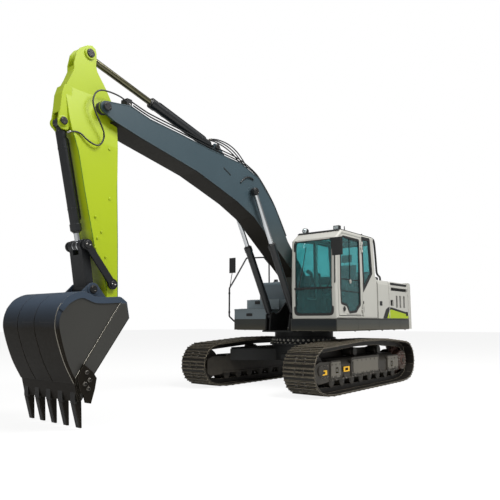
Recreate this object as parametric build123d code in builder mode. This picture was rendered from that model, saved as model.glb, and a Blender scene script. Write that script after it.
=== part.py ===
"""Crawler excavator of the 21 tonne class, with a boom, an arm and a bucket.

Millimetres. +X is forward, +Y is the operator's left, +Z is up. The origin is on the ground
below the swing centre, with the boom in line with the tracks.
"""
import math
import os

from build123d import *

os.makedirs("parts", exist_ok=True)

# ---- driving sizes -------------------------------------------------------------------
GAUGE = 2380            # between the track centre lines
SHOE_W = 600            # track shoe width
PITCH_N = 49            # shoes in one track
IDLER_X, SPROCKET_X = 1680, -1780
WHEEL_Z, WHEEL_PIN_R = 432, 323
GROUSER_TOP = 82        # from the chain pins out to the grouser tips
LINK_IN = 50            # from the chain pins in to the rail the rollers run on
CARRIERS = (280, -750)  # carrier roller places along x
CARRIER_PIN_Z = 835
ROLLER_Z = GROUSER_TOP + LINK_IN + 80.9
ROLLERS = [-1330 + i * 366 for i in range(8)]

TOW_X, TOW_Z, TOW_R = 712, 570, 32

UPPER_W = 2700
SKIRT_Z0, SKIRT_Z1 = 1077, 1301
BODY_TOP = 2100
TAIL_R = 2790
HOUSE_X0 = -2300        # rear end of the doors, front of the counterweight's sides
CAB = dict(y0=372, y1=1345, wall=45)
FLOOR = SKIRT_Z1 + CAB["wall"]

# pins of the front, as (x, z) in the plane of the boom
FOOT, TIP = (50, 1790), (5235, 4146)
LIFT_FOOT, LIFT_ROD = (780, 1350), (2030, 3580)
CROWD_FOOT, CROWD_ROD = (2860, 4230), (5440, 4875)
CURL_FOOT, LINK_TOP = (5800, 3800), (5430, 2230)
IDLE, BUCKET_PIN, LINK_PIN = (5015, 1740), (5000, 1290), (5320, 1660)
BOOM_HW, ARM_HW = 210, 158
BOOM_SLOT = 176         # half gap of the boom's fork
HOOD_PIN, LID_PIN = (-1358, 2112), (224, 1523)
LIFT_Y = 285            # centre plane of each boom cylinder
BUCKET_HW = 580


# ---- shared operations, each works in the active BuildPart ------------------------------
def side_plane(y):
    return Plane(origin=(0, y, 0), x_dir=(1, 0, 0), z_dir=(0, -1, 0))


def slab(points, y0, y1, mode=Mode.ADD, r=0.0, inset=0.0):
    """Outline in x, z, extruded from y0 to y1, with rounded corners."""
    with BuildSketch(side_plane(y0)) as sk:
        with BuildLine():
            Polyline(*points, close=True)
        make_face()
        if r:
            fillet(sk.vertices(), r)
        if inset:
            offset(amount=-inset, kind=Kind.INTERSECTION, mode=Mode.REPLACE)
    extrude(sk.sketch, amount=y1 - y0, dir=(0, 1, 0), mode=mode)


def disc(x, z, r, y0, y1, mode=Mode.ADD):
    """Round boss or bore along y."""
    with BuildSketch(side_plane(y0)) as sk:
        with Locations((x, z)):
            Circle(r)
    extrude(sk.sketch, amount=y1 - y0, dir=(0, 1, 0), mode=mode)


def plan(points, z0, z1, mode=Mode.ADD, r=0.0):
    """Outline in x, y, extruded from z0 to z1."""
    with BuildSketch(Plane.XY.offset(z0)) as sk:
        with BuildLine():
            Polyline(*points, close=True)
        make_face()
        if r:
            fillet(sk.vertices(), r)
    extrude(sk.sketch, amount=z1 - z0, dir=(0, 0, 1), mode=mode)


def block(x0, x1, y0, y1, z0, z1, mode=Mode.ADD):
    with Locations(((x0 + x1) / 2, (y0 + y1) / 2, (z0 + z1) / 2)):
        Box(abs(x1 - x0), abs(y1 - y0), abs(z1 - z0), mode=mode)


def round_bar(p, q, r, mode=Mode.ADD):
    """Round bar from point p to point q."""
    a, b = Vector(*p), Vector(*q)
    with BuildSketch(Plane(origin=a, z_dir=(b - a).normalized())) as sk:
        Circle(r)
    extrude(sk.sketch, amount=(b - a).length, dir=(b - a).normalized(), mode=mode)


def bent_bar(points, r, bend):
    """Round bar along straight runs joined by arcs of one radius."""
    with BuildLine() as ln:
        FilletPolyline(*points, radius=bend)
    path = ln.wires()[0]
    with BuildSketch(Plane(origin=path @ 0, z_dir=path % 0)) as sk:
        Circle(r)
    sweep(sk.sketch, path=path)


def along(p, q, d, y=0.0):
    """Point d from p towards q, both (x, z), in the plane y."""
    n = math.dist(p, q)
    return (p[0] + (q[0] - p[0]) * d / n, y, p[1] + (q[1] - p[1]) * d / n)


def beside(points, d):
    """The open outline moved by d to its left."""
    turns = [math.atan2(b[1] - a[1], b[0] - a[0]) for a, b in zip(points, points[1:])]
    out = []
    for i, (x, z) in enumerate(points):
        before, after = turns[max(i - 1, 0)], turns[min(i, len(turns) - 1)]
        mid, half = (before + after) / 2, (after - before) / 2
        out.append((x - math.sin(mid) * d / math.cos(half), z + math.cos(mid) * d / math.cos(half)))
    return out


def save(name, built):
    built.part.label = name
    export_step(built.part, f"parts/{name}.step")


# ---- tracks ------------------------------------------------------------------------------
def convex_hull(points):
    pts = sorted(set(points))

    def half(seq):
        out = []
        for p in seq:
            while len(out) > 1 and ((out[-1][0] - out[-2][0]) * (p[1] - out[-2][1])
                                    - (out[-1][1] - out[-2][1]) * (p[0] - out[-2][0])) <= 0:
                out.pop()
            out.append(p)
        return out[:-1]
    return half(pts) + half(pts[::-1])


def chain_pins():
    """Chain pin places, PITCH_N of them, evenly along the tight loop, anticlockwise from +X."""
    pts = [(-1500, GROUSER_TOP), (1400, GROUSER_TOP)]
    pts += [(x, CARRIER_PIN_Z) for x in CARRIERS]
    for cx in (IDLER_X, SPROCKET_X):
        pts += [(cx + WHEEL_PIN_R * math.cos(math.radians(a)),
                 WHEEL_Z + WHEEL_PIN_R * math.sin(math.radians(a))) for a in range(0, 360, 4)]
    loop = convex_hull(pts)
    loop.append(loop[0])
    runs = [math.dist(a, b) for a, b in zip(loop, loop[1:])]
    step, out, i, gone = sum(runs) / PITCH_N, [], 0, 0.0
    for k in range(PITCH_N):
        while gone + runs[i] < k * step:
            gone += runs[i]
            i += 1
        t = (k * step - gone) / runs[i]
        out.append((loop[i][0] + (loop[i + 1][0] - loop[i][0]) * t,
                    loop[i][1] + (loop[i + 1][1] - loop[i][1]) * t))
    return out


# one shoe's outline: share of the pitch along it, height out from the pins
SHOE = [(0.03, 57), (0.05, 57), (0.07, 82), (0.13, 82), (0.16, 57), (0.42, 57), (0.45, 76),
        (0.51, 76), (0.54, 57), (0.76, 57), (0.79, 76), (0.85, 76), (0.88, 57), (0.97, 57)]


def chain_outline(pins, profile):
    out = []
    for a, b in zip(pins, pins[1:] + pins[:1]):
        n = math.dist(a, b)
        ux, uz = (b[0] - a[0]) / n, (b[1] - a[1]) / n
        out += [(a[0] + ux * s * n + uz * h, a[1] + uz * s * n - ux * h) for s, h in profile]
    return out


def build_track(name, yc):
    pins = chain_pins()
    outer, plate = chain_outline(pins, SHOE), chain_outline(pins, [(0.5, 45)])
    rail = chain_outline(pins, [(0.5, -LINK_IN)])
    with BuildPart() as track:
        slab(outer, yc - SHOE_W / 2, yc + SHOE_W / 2)
        slab(plate, yc - SHOE_W / 2, yc + SHOE_W / 2, Mode.SUBTRACT)
        for s in (-1, 1):
            y0, y1 = sorted((yc + s * 65, yc + s * 110))
            with BuildSketch(side_plane(y0)) as sk:
                with BuildLine():
                    Polyline(*chain_outline(pins, [(0.5, 50)]), close=True)
                make_face()
                with BuildLine():
                    Polyline(*rail, close=True)
                make_face(mode=Mode.SUBTRACT)
            extrude(sk.sketch, amount=y1 - y0, dir=(0, 1, 0))
    save(name, track)


def turned(yc, places, profile):
    """Like wheels about a y axis, turned from a (distance along y, radius) outline."""
    for x, z in places:
        with BuildSketch(Plane(origin=(x, yc, z), x_dir=(0, 1, 0), z_dir=(1, 0, 0))) as sk:
            with BuildLine():
                Polyline((profile[0][0], 0), *profile, (profile[-1][0], 0), close=True)
            make_face()
        revolve(sk.sketch, axis=Axis((x, yc, z), (0, 1, 0)))


def sprocket_teeth(yc):
    for k in range(11):
        a = 360 / 11 * (k + 0.5)
        with Locations(Location((SPROCKET_X, yc, WHEEL_Z), (0, a, 0))):
            with Locations((WHEEL_PIN_R - 35, 0, 0)):
                Box(70, 56, 60)


def build_wheels(tag, s):
    yc = s * GAUGE / 2
    roller = [(-155, 45), (-146, 92), (-118, 92), (-116, 80), (-40, 80), (-36, 62),
              (36, 62), (40, 80), (116, 80), (118, 92), (146, 92), (155, 45)]
    carrier = [(-s * d, r) for d, r in ((-115, 78), (-60, 78), (-55, 88), (55, 88), (60, 78),
                                        (115, 78), (117, 40), (150, 40))]
    with BuildPart() as rollers:
        turned(yc, [(x, ROLLER_Z) for x in ROLLERS], roller)
        turned(yc, [(x, CARRIER_PIN_Z - LINK_IN - 92) for x in CARRIERS], carrier)
    save(f"rollers_{tag}", rollers)
    idler = [(-156, 70), (-112, 90), (-108, 247.5), (-56, 247.5), (-52, 285), (52, 285), (56, 247.5),
             (108, 247.5), (112, 90), (156, 70)]
    with BuildPart() as wheel:
        turned(yc, [(IDLER_X, WHEEL_Z)], idler)
    save(f"idler_{tag}", wheel)
    drive = [(s * d, r) for d, r in ((-190, 150), (-30, 215), (-28, 270), (28, 270), (30, 215),
                                     (150, 205), (178, 180), (182, 95), (196, 90))]
    with BuildPart() as wheel:
        turned(yc, [(SPROCKET_X, WHEEL_Z)], drive)
        sprocket_teeth(yc)
    save(f"sprocket_{tag}", wheel)


# outer boxes of a track frame: x from, x to, z from, z to
FRAME_BOXES = [(990, 1372, 275, 575), (-570, 612, 275, 598), (-1500, -940, 275, 560)]


def build_track_frame(tag, s):
    yc = s * GAUGE / 2
    with BuildPart() as frame:
        section = [(-188 * s, 318), (188 * s, 318), (188 * s, 480), (60 * s, 600), (-188 * s, 600)]
        with BuildSketch(Plane(origin=(-1440, yc, 0), x_dir=(0, 1, 0), z_dir=(1, 0, 0))) as sk:
            with BuildLine():
                Polyline(*section, close=True)
            make_face()
        extrude(sk.sketch, amount=2740, dir=(1, 0, 0))
        for d in (-1, 1):
            block(-1520, 1390, yc + d * 155, yc + d * 188, 262, 340)
            block(-1520, 1390, yc + d * 155, yc + d * 205, 246, 266)
        for x0, x1, z0, z1 in FRAME_BOXES:
            y0, y1 = sorted((yc + s * 155.2, yc + s * 204))
            slab([(x0, z0), (x1, z0), (x1, z1 - 40), (x1 - 40, z1), (x0 + 40, z1), (x0, z1 - 40)], y0, y1)
        for x in CARRIERS:
            z = CARRIER_PIN_Z - LINK_IN - 92
            block(x - 45, x + 45, yc - s * 152, yc - s * 122, 560, z + 50)
            block(x - 45, x + 45, yc - s * 152, yc + s * 100, 560, 598)
            disc(x, z, 40, yc - 160, yc + 160, Mode.SUBTRACT)
        # fork for the idler, with rounded guards
        for d in (-1, 1):
            y0, y1 = sorted((yc + d * 156, yc + d * 192))
            slab([(1250, 260), (1480, 230), (1700, 215), (1850, 260), (1850, 520), (1700, 575),
                  (1250, 560)], y0, y1, r=20)
        # end plate that carries the final drive
        y0, y1 = sorted((yc - s * 190, yc - s * 214))
        slab([(SPROCKET_X + dx, WHEEL_Z + dz) for dx, dz in
              ((380, -150), (380, 160), (80, 215), (-80, 215), (-180, 128), (-215, 0), (-180, -128),
               (-80, -215), (80, -215))], y0, y1)
        block(-1500, -1420, *sorted((yc - s * 150, yc - s * 200)), 318, 590)
    save(f"track_frame_{tag}", frame)


def build_lower_frame():
    with BuildPart() as frame:
        legs = []
        for sx, sy in ((1, 1), (-1, 1), (-1, -1), (1, -1)):
            out_a, out_b = (sx * 1180, sy * 1002), (sx * 760, sy * 1002)
            in_a, in_b = (sx * 560, sy * 330), (sx * 330, sy * 560)
            legs += [in_b, out_b, out_a, in_a] if sx * sy < 0 else [in_a, out_a, out_b, in_b]
        plan(legs, 480, 700)
        with Locations((0, 0, 650)):
            Cylinder(640, 340)
        with Locations((0, 0, 640)):
            Cylinder(420, 400, mode=Mode.SUBTRACT)
        for z0, z1 in ((790, 822),):
            with Locations((0, 0, (z0 + z1) / 2)):
                Cylinder(700, z1 - z0)
            with Locations((0, 0, (z0 + z1) / 2)):
                Cylinder(420, z1 - z0 + 2, mode=Mode.SUBTRACT)
    save("lower_frame", frame)
    with BuildPart() as eye:
        plan([(600, -120), (664, -120), (770, -52), (770, 52), (664, 120), (600, 120)], TOW_Z - 32, TOW_Z + 32, r=20)
        block(600, 664, -120, 120, 510, 640)
        with Locations((0, 0, 580)):
            Cylinder(640, 300, mode=Mode.SUBTRACT)
        round_bar((TOW_X, 0, TOW_Z - 40), (TOW_X, 0, TOW_Z + 40), TOW_R, Mode.SUBTRACT)
    save("tow_bracket", eye)


def hollow_disc(r_out, r_in, z0, z1):
    with BuildSketch(Plane.XY.offset(z0)) as sk:
        Circle(r_out)
        Circle(r_in, mode=Mode.SUBTRACT)
    extrude(sk.sketch, amount=z1 - z0, dir=(0, 0, 1))


def build_slew_ring():
    with BuildPart() as part:
        hollow_disc(650, 470, 822, 934.7)
    save("slew_ring", part)


# ---- upperstructure --------------------------------------------------------------------
def build_main_frame():
    with BuildPart() as frame:
        base = [(-2280, -560), (-2280, 560), (620, 560), (960, 360), (960, -360), (620, -560)]
        plan(base, 1045, 1075)
        bracket = [(-2250, 1070), (-2250, 1262), (-1310, 1262), (-1250, 1290), (-700, 1330), (-140, 1840), (-60, 1925), (60, 1945),
                   (160, 1880), (250, 1700), (560, 1440), (700, 1400), (745, 1432), (830, 1424),
                   (866, 1330), (900, 1070)]
        for s in (-1, 1):
            y0, y1 = sorted((s * 216, s * 246))
            slab(bracket, y0, y1)
            y0, y1 = sorted((s * 323, s * 348))
            slab([(560, 1070), (640, 1330), (715, 1400), (745, 1428), (810, 1430), (860, 1380),
                  (880, 1070)], y0, y1)
            y0, y1 = sorted((s * 240, s * 285))
            disc(*FOOT, 78, y0, y1)
            disc(*LIFT_FOOT, 38, *sorted((s * 216, s * 348)))
            for x0, x1 in ((-2200, -2120), (-1350, -1270), (-560, -480), (300, 380)):
                block(x0, x1, s * 230, s * 1300, 1073, 1250)
        block(-2280, 560, 1256, 1316, 1090, 1250)
        block(-2280, 600, -1316, -1256, 1090, 1250)
        block(540, 620, 350, 1300, 1073, 1250)
        block(300, 610, -1290, -480, 1073, 1110)
        disc(*FOOT, 45, -212 - 60, 212 + 60)
        hollow_disc(600, 470, 935, 1046)
    save("main_frame", frame)


def d_beam(x0, x1, y_out, s):
    """Side beam of the deck: flat back, rounded outer face, from x0 to x1."""
    section = [(0, SKIRT_Z0 + 14), (14, SKIRT_Z0), (34, SKIRT_Z0), (34, SKIRT_Z1), (6, SKIRT_Z1),
               (0, SKIRT_Z1 - 10)]
    with BuildSketch(Plane(origin=(x0, 0, 0), x_dir=(0, 1, 0), z_dir=(1, 0, 0))) as sk:
        with BuildLine():
            Polyline(*[(y_out - s * d, z) for d, z in section], close=True)
        make_face()
    extrude(sk.sketch, amount=x1 - x0, dir=(1, 0, 0))


def build_skirts():
    for tag, s, x1 in (("left", 1, 1020), ("right", -1, 640)):
        with BuildPart() as skirt:
            d_beam(HOUSE_X0, x1, s * UPPER_W / 2, s)
            y0, y1 = sorted((s * (360 if s > 0 else 480), s * UPPER_W / 2))
            block(x1 - 30, x1, y0, y1, SKIRT_Z0, SKIRT_Z1)
            block(HOUSE_X0, x1, s * 1250, s * 1345, SKIRT_Z1 - 12, SKIRT_Z1)
        save(f"skirt_{tag}", skirt)


def build_counterweight():
    with BuildPart() as cw:
        with BuildSketch(Plane.XY.offset(1085)) as sk:
            Circle(TAIL_R)
            with Locations(((3000 + HOUSE_X0) / 2, 0)):
                Rectangle(3000 - HOUSE_X0, 6000, mode=Mode.SUBTRACT)
            with Locations((0, 2350), (0, -2350)):
                Rectangle(6000, 2000, mode=Mode.SUBTRACT)
        extrude(sk.sketch, amount=1035, dir=(0, 0, 1))
        edges = cw.edges().filter_by(lambda e: e.center().Z > 2110 and e.length > 300 and e.center().X < -2330)
        fillet(edges, 70)
        for s in (-1, 1):
            with Locations((-2520, s * 620, 2120)):
                Cylinder(60, 24, mode=Mode.SUBTRACT)
        slab([(-2900, 1000), (-2900, 1200), (-2640, 1080), (-2640, 1000)], -1400, 1400, Mode.SUBTRACT)
    save("counterweight", cw)


def build_housing():
    top, low, w = BODY_TOP, SKIRT_Z1, 1314
    outline = [(HOUSE_X0 + 6, -w), (HOUSE_X0 + 6, w), (-722, w), (-722, 402), (-1300, 402), (-1300, -470),
               (-1640, -470), (-1640, -w)]
    inner = [(HOUSE_X0 + 46, -w + 32), (HOUSE_X0 + 46, w - 32), (-762, w - 32), (-762, 442), (-1340, 442),
             (-1340, -430), (-1680, -430), (-1680, -w + 32)]
    with BuildPart() as house:
        plan(outline, low, top)
        shoulder = [e for e in house.edges().filter_by(Axis.X)
                    if e.center().Z > top - 1 and abs(e.center().Y) > w - 1]
        fillet(shoulder, 90)
        plan(inner, low - 1, top - 90, Mode.SUBTRACT)
        block(-1400, -2240, -1180, 1180, top - 100, top - 30, Mode.SUBTRACT)
        for x0, x1, s in ((-1222, -758, 1), (-2252, -1302, 1), (-2252, -1690, -1)):
            block(x0, x1, s * (w - 60), s * (w + 40), low + 40, top - 60, Mode.SUBTRACT)
        block(-2200, -1400, -760, 640, top - 140, top + 10, Mode.SUBTRACT)
    save("engine_housing", house)

    # doors: name, x from, x to, side, (x, z, width, height) of each slot
    slots = [(-1795, 2055, 850, 26), (-1795, 1942, 850, 50), (-1400, 1645, 120, 105)]
    slots += [(x, 1680, 62, 240) for x in (-1660, -1850, -2060)]
    right = [(-1960, 1700 + 60 * k, 380, 26) for k in range(4)]
    for name, x0, x1, s, cuts in (("side_door_front", -1255, -726, 1, []),
                                  ("side_door_rear", -2288, -1270, 1, slots),
                                  ("pump_door", -2288, -1654, -1, right)):
        with BuildPart() as door:
            prof = [(1346, low + 10), (1346, 2010), (1330, 2071), (1302, 2103), (1285, 2083), (1306, 2057),
                    (1319, 2010), (1319, low + 10)]
            with BuildSketch(Plane(origin=(x0, 0, 0), x_dir=(0, 1, 0), z_dir=(1, 0, 0))) as sk:
                with BuildLine():
                    Polyline(*[(s * y, z) for y, z in prof], close=True)
                make_face()
            extrude(sk.sketch, amount=x1 - x0, dir=(1, 0, 0))
            for x, z, wx, hz in cuts:
                block(x - wx / 2, x + wx / 2, s * (w - 100), s * (w + 60), z - hz / 2, z + hz / 2,
                      Mode.SUBTRACT)
            for z in (1420, 1880):
                round_bar((x0 + 8, s * 1351, z - 45), (x0 + 8, s * 1351, z + 45), 11)
                block(x0 + 30, x0 + 130, s * 1314.4, s * 1320, z - 40, z + 40)
        save(name, door)

    with BuildPart() as hood:
        block(-2230, -1370, -800, 680, top + 0.5, top + 190)
        fillet([e for e in hood.edges() if e.center().Z > top + 15], 40)
        block(-2205, -1395, -775, 655, top - 5, top + 160, Mode.SUBTRACT)
        for k in range(7):
            x = -2120 + k * 110
            block(x - 22, x + 22, -560, -160, top + 100, top + 220, Mode.SUBTRACT)
        for y in (-640, 520):
            round_bar((HOOD_PIN[0], y - 50, HOOD_PIN[1]), (HOOD_PIN[0], y + 50, HOOD_PIN[1]), 11)
            block(-1374, HOOD_PIN[0], y - 50, y + 50, top + 8, top + 16)
    save("engine_hood", hood)
    with BuildPart() as engine:
        block(-2180, -1480, -420, 880, 1345, 1950)
        for x in (-2100, -1560):
            for y in (-231, 231):
                block(x - 60, x + 60, y - 15, y + 15, 1262, 1345)
    save("engine_block", engine)
    with BuildPart() as pipe:
        bent_bar([(-1780, -900, 2100), (-1780, -900, 2420), (-1780, -1010, 2500)], 48, 60)
    save("exhaust_pipe", pipe)


def build_right_side():
    w = 1345
    with BuildPart() as tank:
        plan([(-1638, -w), (-1638, -478), (-956, -478), (-956, -w)], SKIRT_Z1, 2095)
        fillet([e for e in tank.edges() if e.center().Z > 2090], 70)
        with Locations((-1296, -900, 2105)):
            Cylinder(70, 40)
    save("hydraulic_tank", tank)
    with BuildPart() as tank:
        plan([(-950, -w), (-950, -478), (-226, -478), (-226, -w)], SKIRT_Z1, 2130)
        fillet([e for e in tank.edges() if e.center().Z > 2100 or
                (abs(e.center().X + 226) < 1 and e.length > 500)], 60)
        with Locations((-600, -1130, 2145)):
            Cylinder(62, 46)
        block(-420, -400, -620, -560, 2120, 2210)
    save("fuel_tank", tank)
    with BuildPart() as box:
        slab([(-222, SKIRT_Z1), (640, SKIRT_Z1), (640, 1490), (210, 1490), (210, 1720), (-222, 1720)],
             -w, -480)
        slab([(-190, SKIRT_Z1 + 30), (610, SKIRT_Z1 + 30), (610, 1500), (182, 1500), (182, 1690),
              (-190, 1690)], -w + 30, -510, Mode.SUBTRACT)
        for x, z, wy in ((212, 1600, 60), (642, 1420, 45)):
            block(x - 12, x, -w + 420 - wy, -w + 420 + wy, z - 14, z + 14, Mode.SUBTRACT)
    save("tool_box", box)
    with BuildPart() as lid:
        block(LID_PIN[0] + 2, 646, -w - 4, -476, 1490.4, 1515)
        fillet([e for e in lid.edges() if e.center().Z > 1514], 12)
        for y in (-1210, -620):
            round_bar((LID_PIN[0], y - 45, LID_PIN[1]), (LID_PIN[0], y + 45, LID_PIN[1]), 10)
            block(LID_PIN[0], 264, y - 45, y + 45, 1512, 1519)
    save("tool_box_lid", lid)
    # handrail up the right front corner
    rail = [(560, -1350, 1240), (560, -1400, 1240), (750, -1400, 1360), (750, -1400, 1960), (560, -1400, 2180),
            (160, -1400, 2670), (-500, -1400, 2750), (-550, -1290, 2600), (-550, -1290, 2130)]
    with BuildPart() as bar:
        bent_bar(rail, 17, 45)
    save("handrail_right", bar)
    with BuildPart() as mirror:
        round_bar((700, -1425, 2012), (630, -1425, 2310), 8)
        block(616, 640, -1500, -1340, 2300, 2630)
        bent_bar([(996.5, 1300, 2560), (1120, 1330, 2560), (1160, 1400, 2560)], 9, 30)
        block(1140, 1172, 1360, 1560, 2420, 2740)
    save("mirrors", mirror)


# ---- cab ------------------------------------------------------------------------------------
CAB_SIDE = [(-700, SKIRT_Z1), (-700, 2120), (-640, 2160), (-575, 2950), (760, 2950), (985, 2780),
            (1020, 1900), (1000, SKIRT_Z1)]


def build_cab():
    y0, y1, t = CAB["y0"], CAB["y1"], CAB["wall"]
    with BuildPart() as cab:
        slab(CAB_SIDE, y0, y1)
        fillet([e for e in cab.edges() if abs(e.center().Y - y0) < 1 or abs(e.center().Y - y1) < 1], 40)
        slab(CAB_SIDE, y0 + t, y1 - t, Mode.SUBTRACT, inset=t)
        # windscreen and roof hatch
        for z0, z1 in ((1385, 1845), (1875, 2760)):
            block(880, 1200, y0 + 90, y1 - 90, z0, z1, Mode.SUBTRACT)
        block(-200, 500, y0 + 160, y1 - 160, 2850, 3000, Mode.SUBTRACT)
        # rear window and right side windows
        block(-800, -480, y0 + 110, y1 - 110, 2230, 2830, Mode.SUBTRACT)
        slab([(880, 1700), (880, 2800), (160, 2850), (160, 1700)], y0 - 10, y0 + 100, Mode.SUBTRACT, r=40)
        slab([(90, 1700), (90, 2850), (-450, 2850), (-500, 2200), (-300, 1900)], y0 - 10, y0 + 100,
             Mode.SUBTRACT, r=40)
        # left rear window and the doorway
        slab([(-40, 2900), (-390, 2905), (-470, 2210), (-250, 2000), (-60, 1830)], y1 - 100, y1 + 10,
             Mode.SUBTRACT, r=25)
        slab([(940, 1350), (950, 1900), (915, 2770), (760, 2885), (5, 2890), (-20, 1350)], y1 - 100, y1 + 10,
             Mode.SUBTRACT, r=30)
        for z in (1400, 1560, 2620, 2780):
            round_bar((-4, y1 + 17, z - 24), (-4, y1 + 17, z + 24), 12)
            block(-44, -14, y1 - 12, y1 + 22, z - 24, z + 24)
    save("cab_shell", cab)

    with BuildPart() as door:
        outline = [(930, 1362), (938, 1900), (904, 2765), (755, 2876), (15, 2880), (-8, 1362)]
        slab(outline, y1 - 30, y1 + 2, r=30)
        slab([(850, 1570), (868, 1900), (840, 2740), (735, 2830), (75, 2830), (75, 1560), (170, 1500),
              (250, 1425), (540, 1405), (640, 1540)], y1 - 40, y1 + 10, Mode.SUBTRACT, r=30)
        for z in (1480, 2700):
            round_bar((-4, y1 + 17, z - 55.5), (-4, y1 + 17, z + 55.5), 12)
            block(12, 50, y1 - 10, y1 + 16, z - 40, z + 40)
            block(-4, 20, y1 + 8, y1 + 16, z - 40, z + 40)
        disc(745, 1480, 34, y1, y1 + 14)
    save("cab_door", door)

    with BuildPart() as glass:
        slab([(850, 1570), (868, 1900), (840, 2740), (735, 2830), (75, 2830), (75, 1560), (170, 1500),
              (250, 1425), (540, 1405), (640, 1540)], y1 - 18, y1 - 12, r=30)
    save("door_glass", glass)
    with BuildPart() as panes:
        for z0, z1 in ((1385, 1845), (1875, 2740)):
            block(985, 991, y0 + 90, y1 - 90, z0, z1)
        slab([(-40, 2900), (-390, 2905), (-470, 2210), (-250, 2000), (-60, 1830)], y1 - 18, y1 - 12, r=25)
        slab([(880, 1700), (880, 2800), (160, 2850), (160, 1700)], y0 + 12, y0 + 18, r=40)
        slab([(90, 1700), (90, 2850), (-450, 2850), (-500, 2200), (-300, 1900)], y0 + 12, y0 + 18, r=40)
        block(-612, -606, y0 + 110, y1 - 110, 2240, 2820)
    save("cab_glass", panes)
    with BuildPart() as hatch:
        block(-200, 500, y0 + 160, y1 - 160, 2915, 2945)
    save("roof_hatch", hatch)

    ym = (y0 + y1) / 2
    with BuildPart() as seat:
        block(-250, 230, ym - 240, ym + 240, 1699.3, 1820)
        slab([(-290, 1760), (-200, 1760), (-290, 2420), (-370, 2420)], ym - 230, ym + 230, r=20)
        slab([(-345, 2440), (-270, 2440), (-290, 2620), (-350, 2620)], ym - 130, ym + 130, r=20)
        block(-300, -350 + 60, ym - 60, ym + 60, 2400, 2460)
    save("seat", seat)
    with BuildPart() as base:
        block(-230, 200, ym - 200, ym + 200, FLOOR, 1699)
        for s in (-1, 1):
            block(-280, 300, ym + s * 252, ym + s * 360, FLOOR, 1900)
            round_bar((230, ym + s * 300, 1895), (260, ym + s * 300, 2090), 22)
        for s in (-1, 1):
            round_bar((570, ym + s * 90, 1370), (500, ym + s * 90, 1800), 12)
            block(540, 760, ym + s * 90 - 60, ym + s * 90 + 60, FLOOR, 1380)
        block(760, 860, y0 + 60, y0 + 200, FLOOR, 1950)
        block(700, 760, y0 + 60, y0 + 260, 1900, 2120)
    save("seat_base", base)
    with BuildPart() as lamps:
        with Locations(Location((690, 510, 3010), (0, 90, 0))):
            Cylinder(55, 70)
        block(650, 730, 1150, 1270, 2960, 3040)
        block(680, 700, 495, 525, 2950, 2990)
        block(680, 700, 1195, 1225, 2950, 2970)
    save("cab_lamps", lamps)


# ---- front: boom, arm, bucket -----------------------------------------------------------
BOOM_SIDE = [(5322, 4146), (5285, 4215), (5200, 4240), (4820, 4300), (4460, 4215), (3790, 4160), (3180, 4100),
             (2320, 4050), (1810, 3890), (1320, 3450), (870, 2810), (-60, 1900), (-95, 1790), (-50, 1680),
             (60, 1640), (170, 1690), (560, 2140), (1330, 2690), (1940, 3130), (2430, 3340),
             (2970, 3510), (3430, 3650), (4140, 3790), (4630, 3885), (5090, 3990), (5275, 4075)]


def build_boom():
    hw = BOOM_HW
    with BuildPart() as boom:
        slab(BOOM_SIDE, -hw, hw, r=24)
        slab(BOOM_SIDE, -hw + 14, hw - 14, Mode.SUBTRACT, inset=22)
        for s in (-1, 1):
            y0, y1 = sorted((s * (hw - 3), s * hw))
            slab(BOOM_SIDE, y0, y1, Mode.SUBTRACT, inset=14)
        block(4735, 5500, -BOOM_SLOT, BOOM_SLOT, 3700, 4600, Mode.SUBTRACT)
        block(4707, 4735, -hw + 10, hw - 10, 3925, 4260)
        for x, z, r in ((*FOOT, 105), (*TIP, 84), (*LIFT_ROD, 100)):
            for s in (-1, 1):
                inner = BOOM_SLOT if x == TIP[0] else hw - 30
                y0, y1 = sorted((s * inner, s * (hw + 2)))
                disc(x, z, r, y0, y1)
        disc(*FOOT, 110, -hw, hw)
        disc(*FOOT, 46, -hw - 10, hw + 10, Mode.SUBTRACT)
        disc(*TIP, 41, -hw - 10, hw + 10, Mode.SUBTRACT)
        for s in (-1, 1):
            y0, y1 = sorted((s * 58, s * 95))
            slab([(2560, 4040), (2740, 4225), (2800, 4290), (2905, 4290), (2935, 4190), (3080, 4070)], y0, y1)
        round_bar((CROWD_FOOT[0], -115, CROWD_FOOT[1]), (CROWD_FOOT[0], 115, CROWD_FOOT[1]), 38)
    save("boom", boom)
    top = BOOM_SIDE[10:3:-1]
    with BuildPart() as pipes:
        for k in range(4):
            y = -196 + 24 * k
            bent_bar([(x, y, z) for x, z in beside(top, 30)], 10, 160)
        for (ax, az), (bx, bz) in zip(top, top[1:]):
            n = math.dist((ax, az), (bx, bz))
            ux, uz = (bx - ax) / n, (bz - az) / n
            mx, mz = (ax + bx) / 2, (az + bz) / 2
            slab([(mx + ux * a - uz * h, mz + uz * a + ux * h) for a, h in ((-30, 0), (30, 0), (30, 46), (-30, 46))],
                 -208, -112)
    save("boom_pipes", pipes)


ARM_SIDE = [(5785, 4243), (5781, 4291), (5720, 4430), (5670, 4567), (5675, 4648), (5645, 4815), (5590, 4900),
            (5484, 4978), (5408, 5004), (5353, 4974), (5333, 4910), (5330, 4825), (5335, 4740), (5310, 4660),
            (5265, 4600), (5196, 4515), (5133, 4425), (5058, 4308), (4985, 4120), (4965, 4000), (4955, 3050),
            (4925, 2300), (4890, 1420), (4880, 1290), (4925, 1195), (5040, 1185), (5098, 1270), (5072, 1400),
            (5078, 1650), (5132, 1850), (5222, 2030), (5303, 2230), (5477, 2950), (5586, 3440), (5626, 3581),
            (5680, 3702), (5717, 3842), (5757, 4065)]
ARM_FRONT = [(80, 5100), (80, 4300), (132, 3650), (158, 2300), (158, 1100)]     # half width at each height


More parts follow.
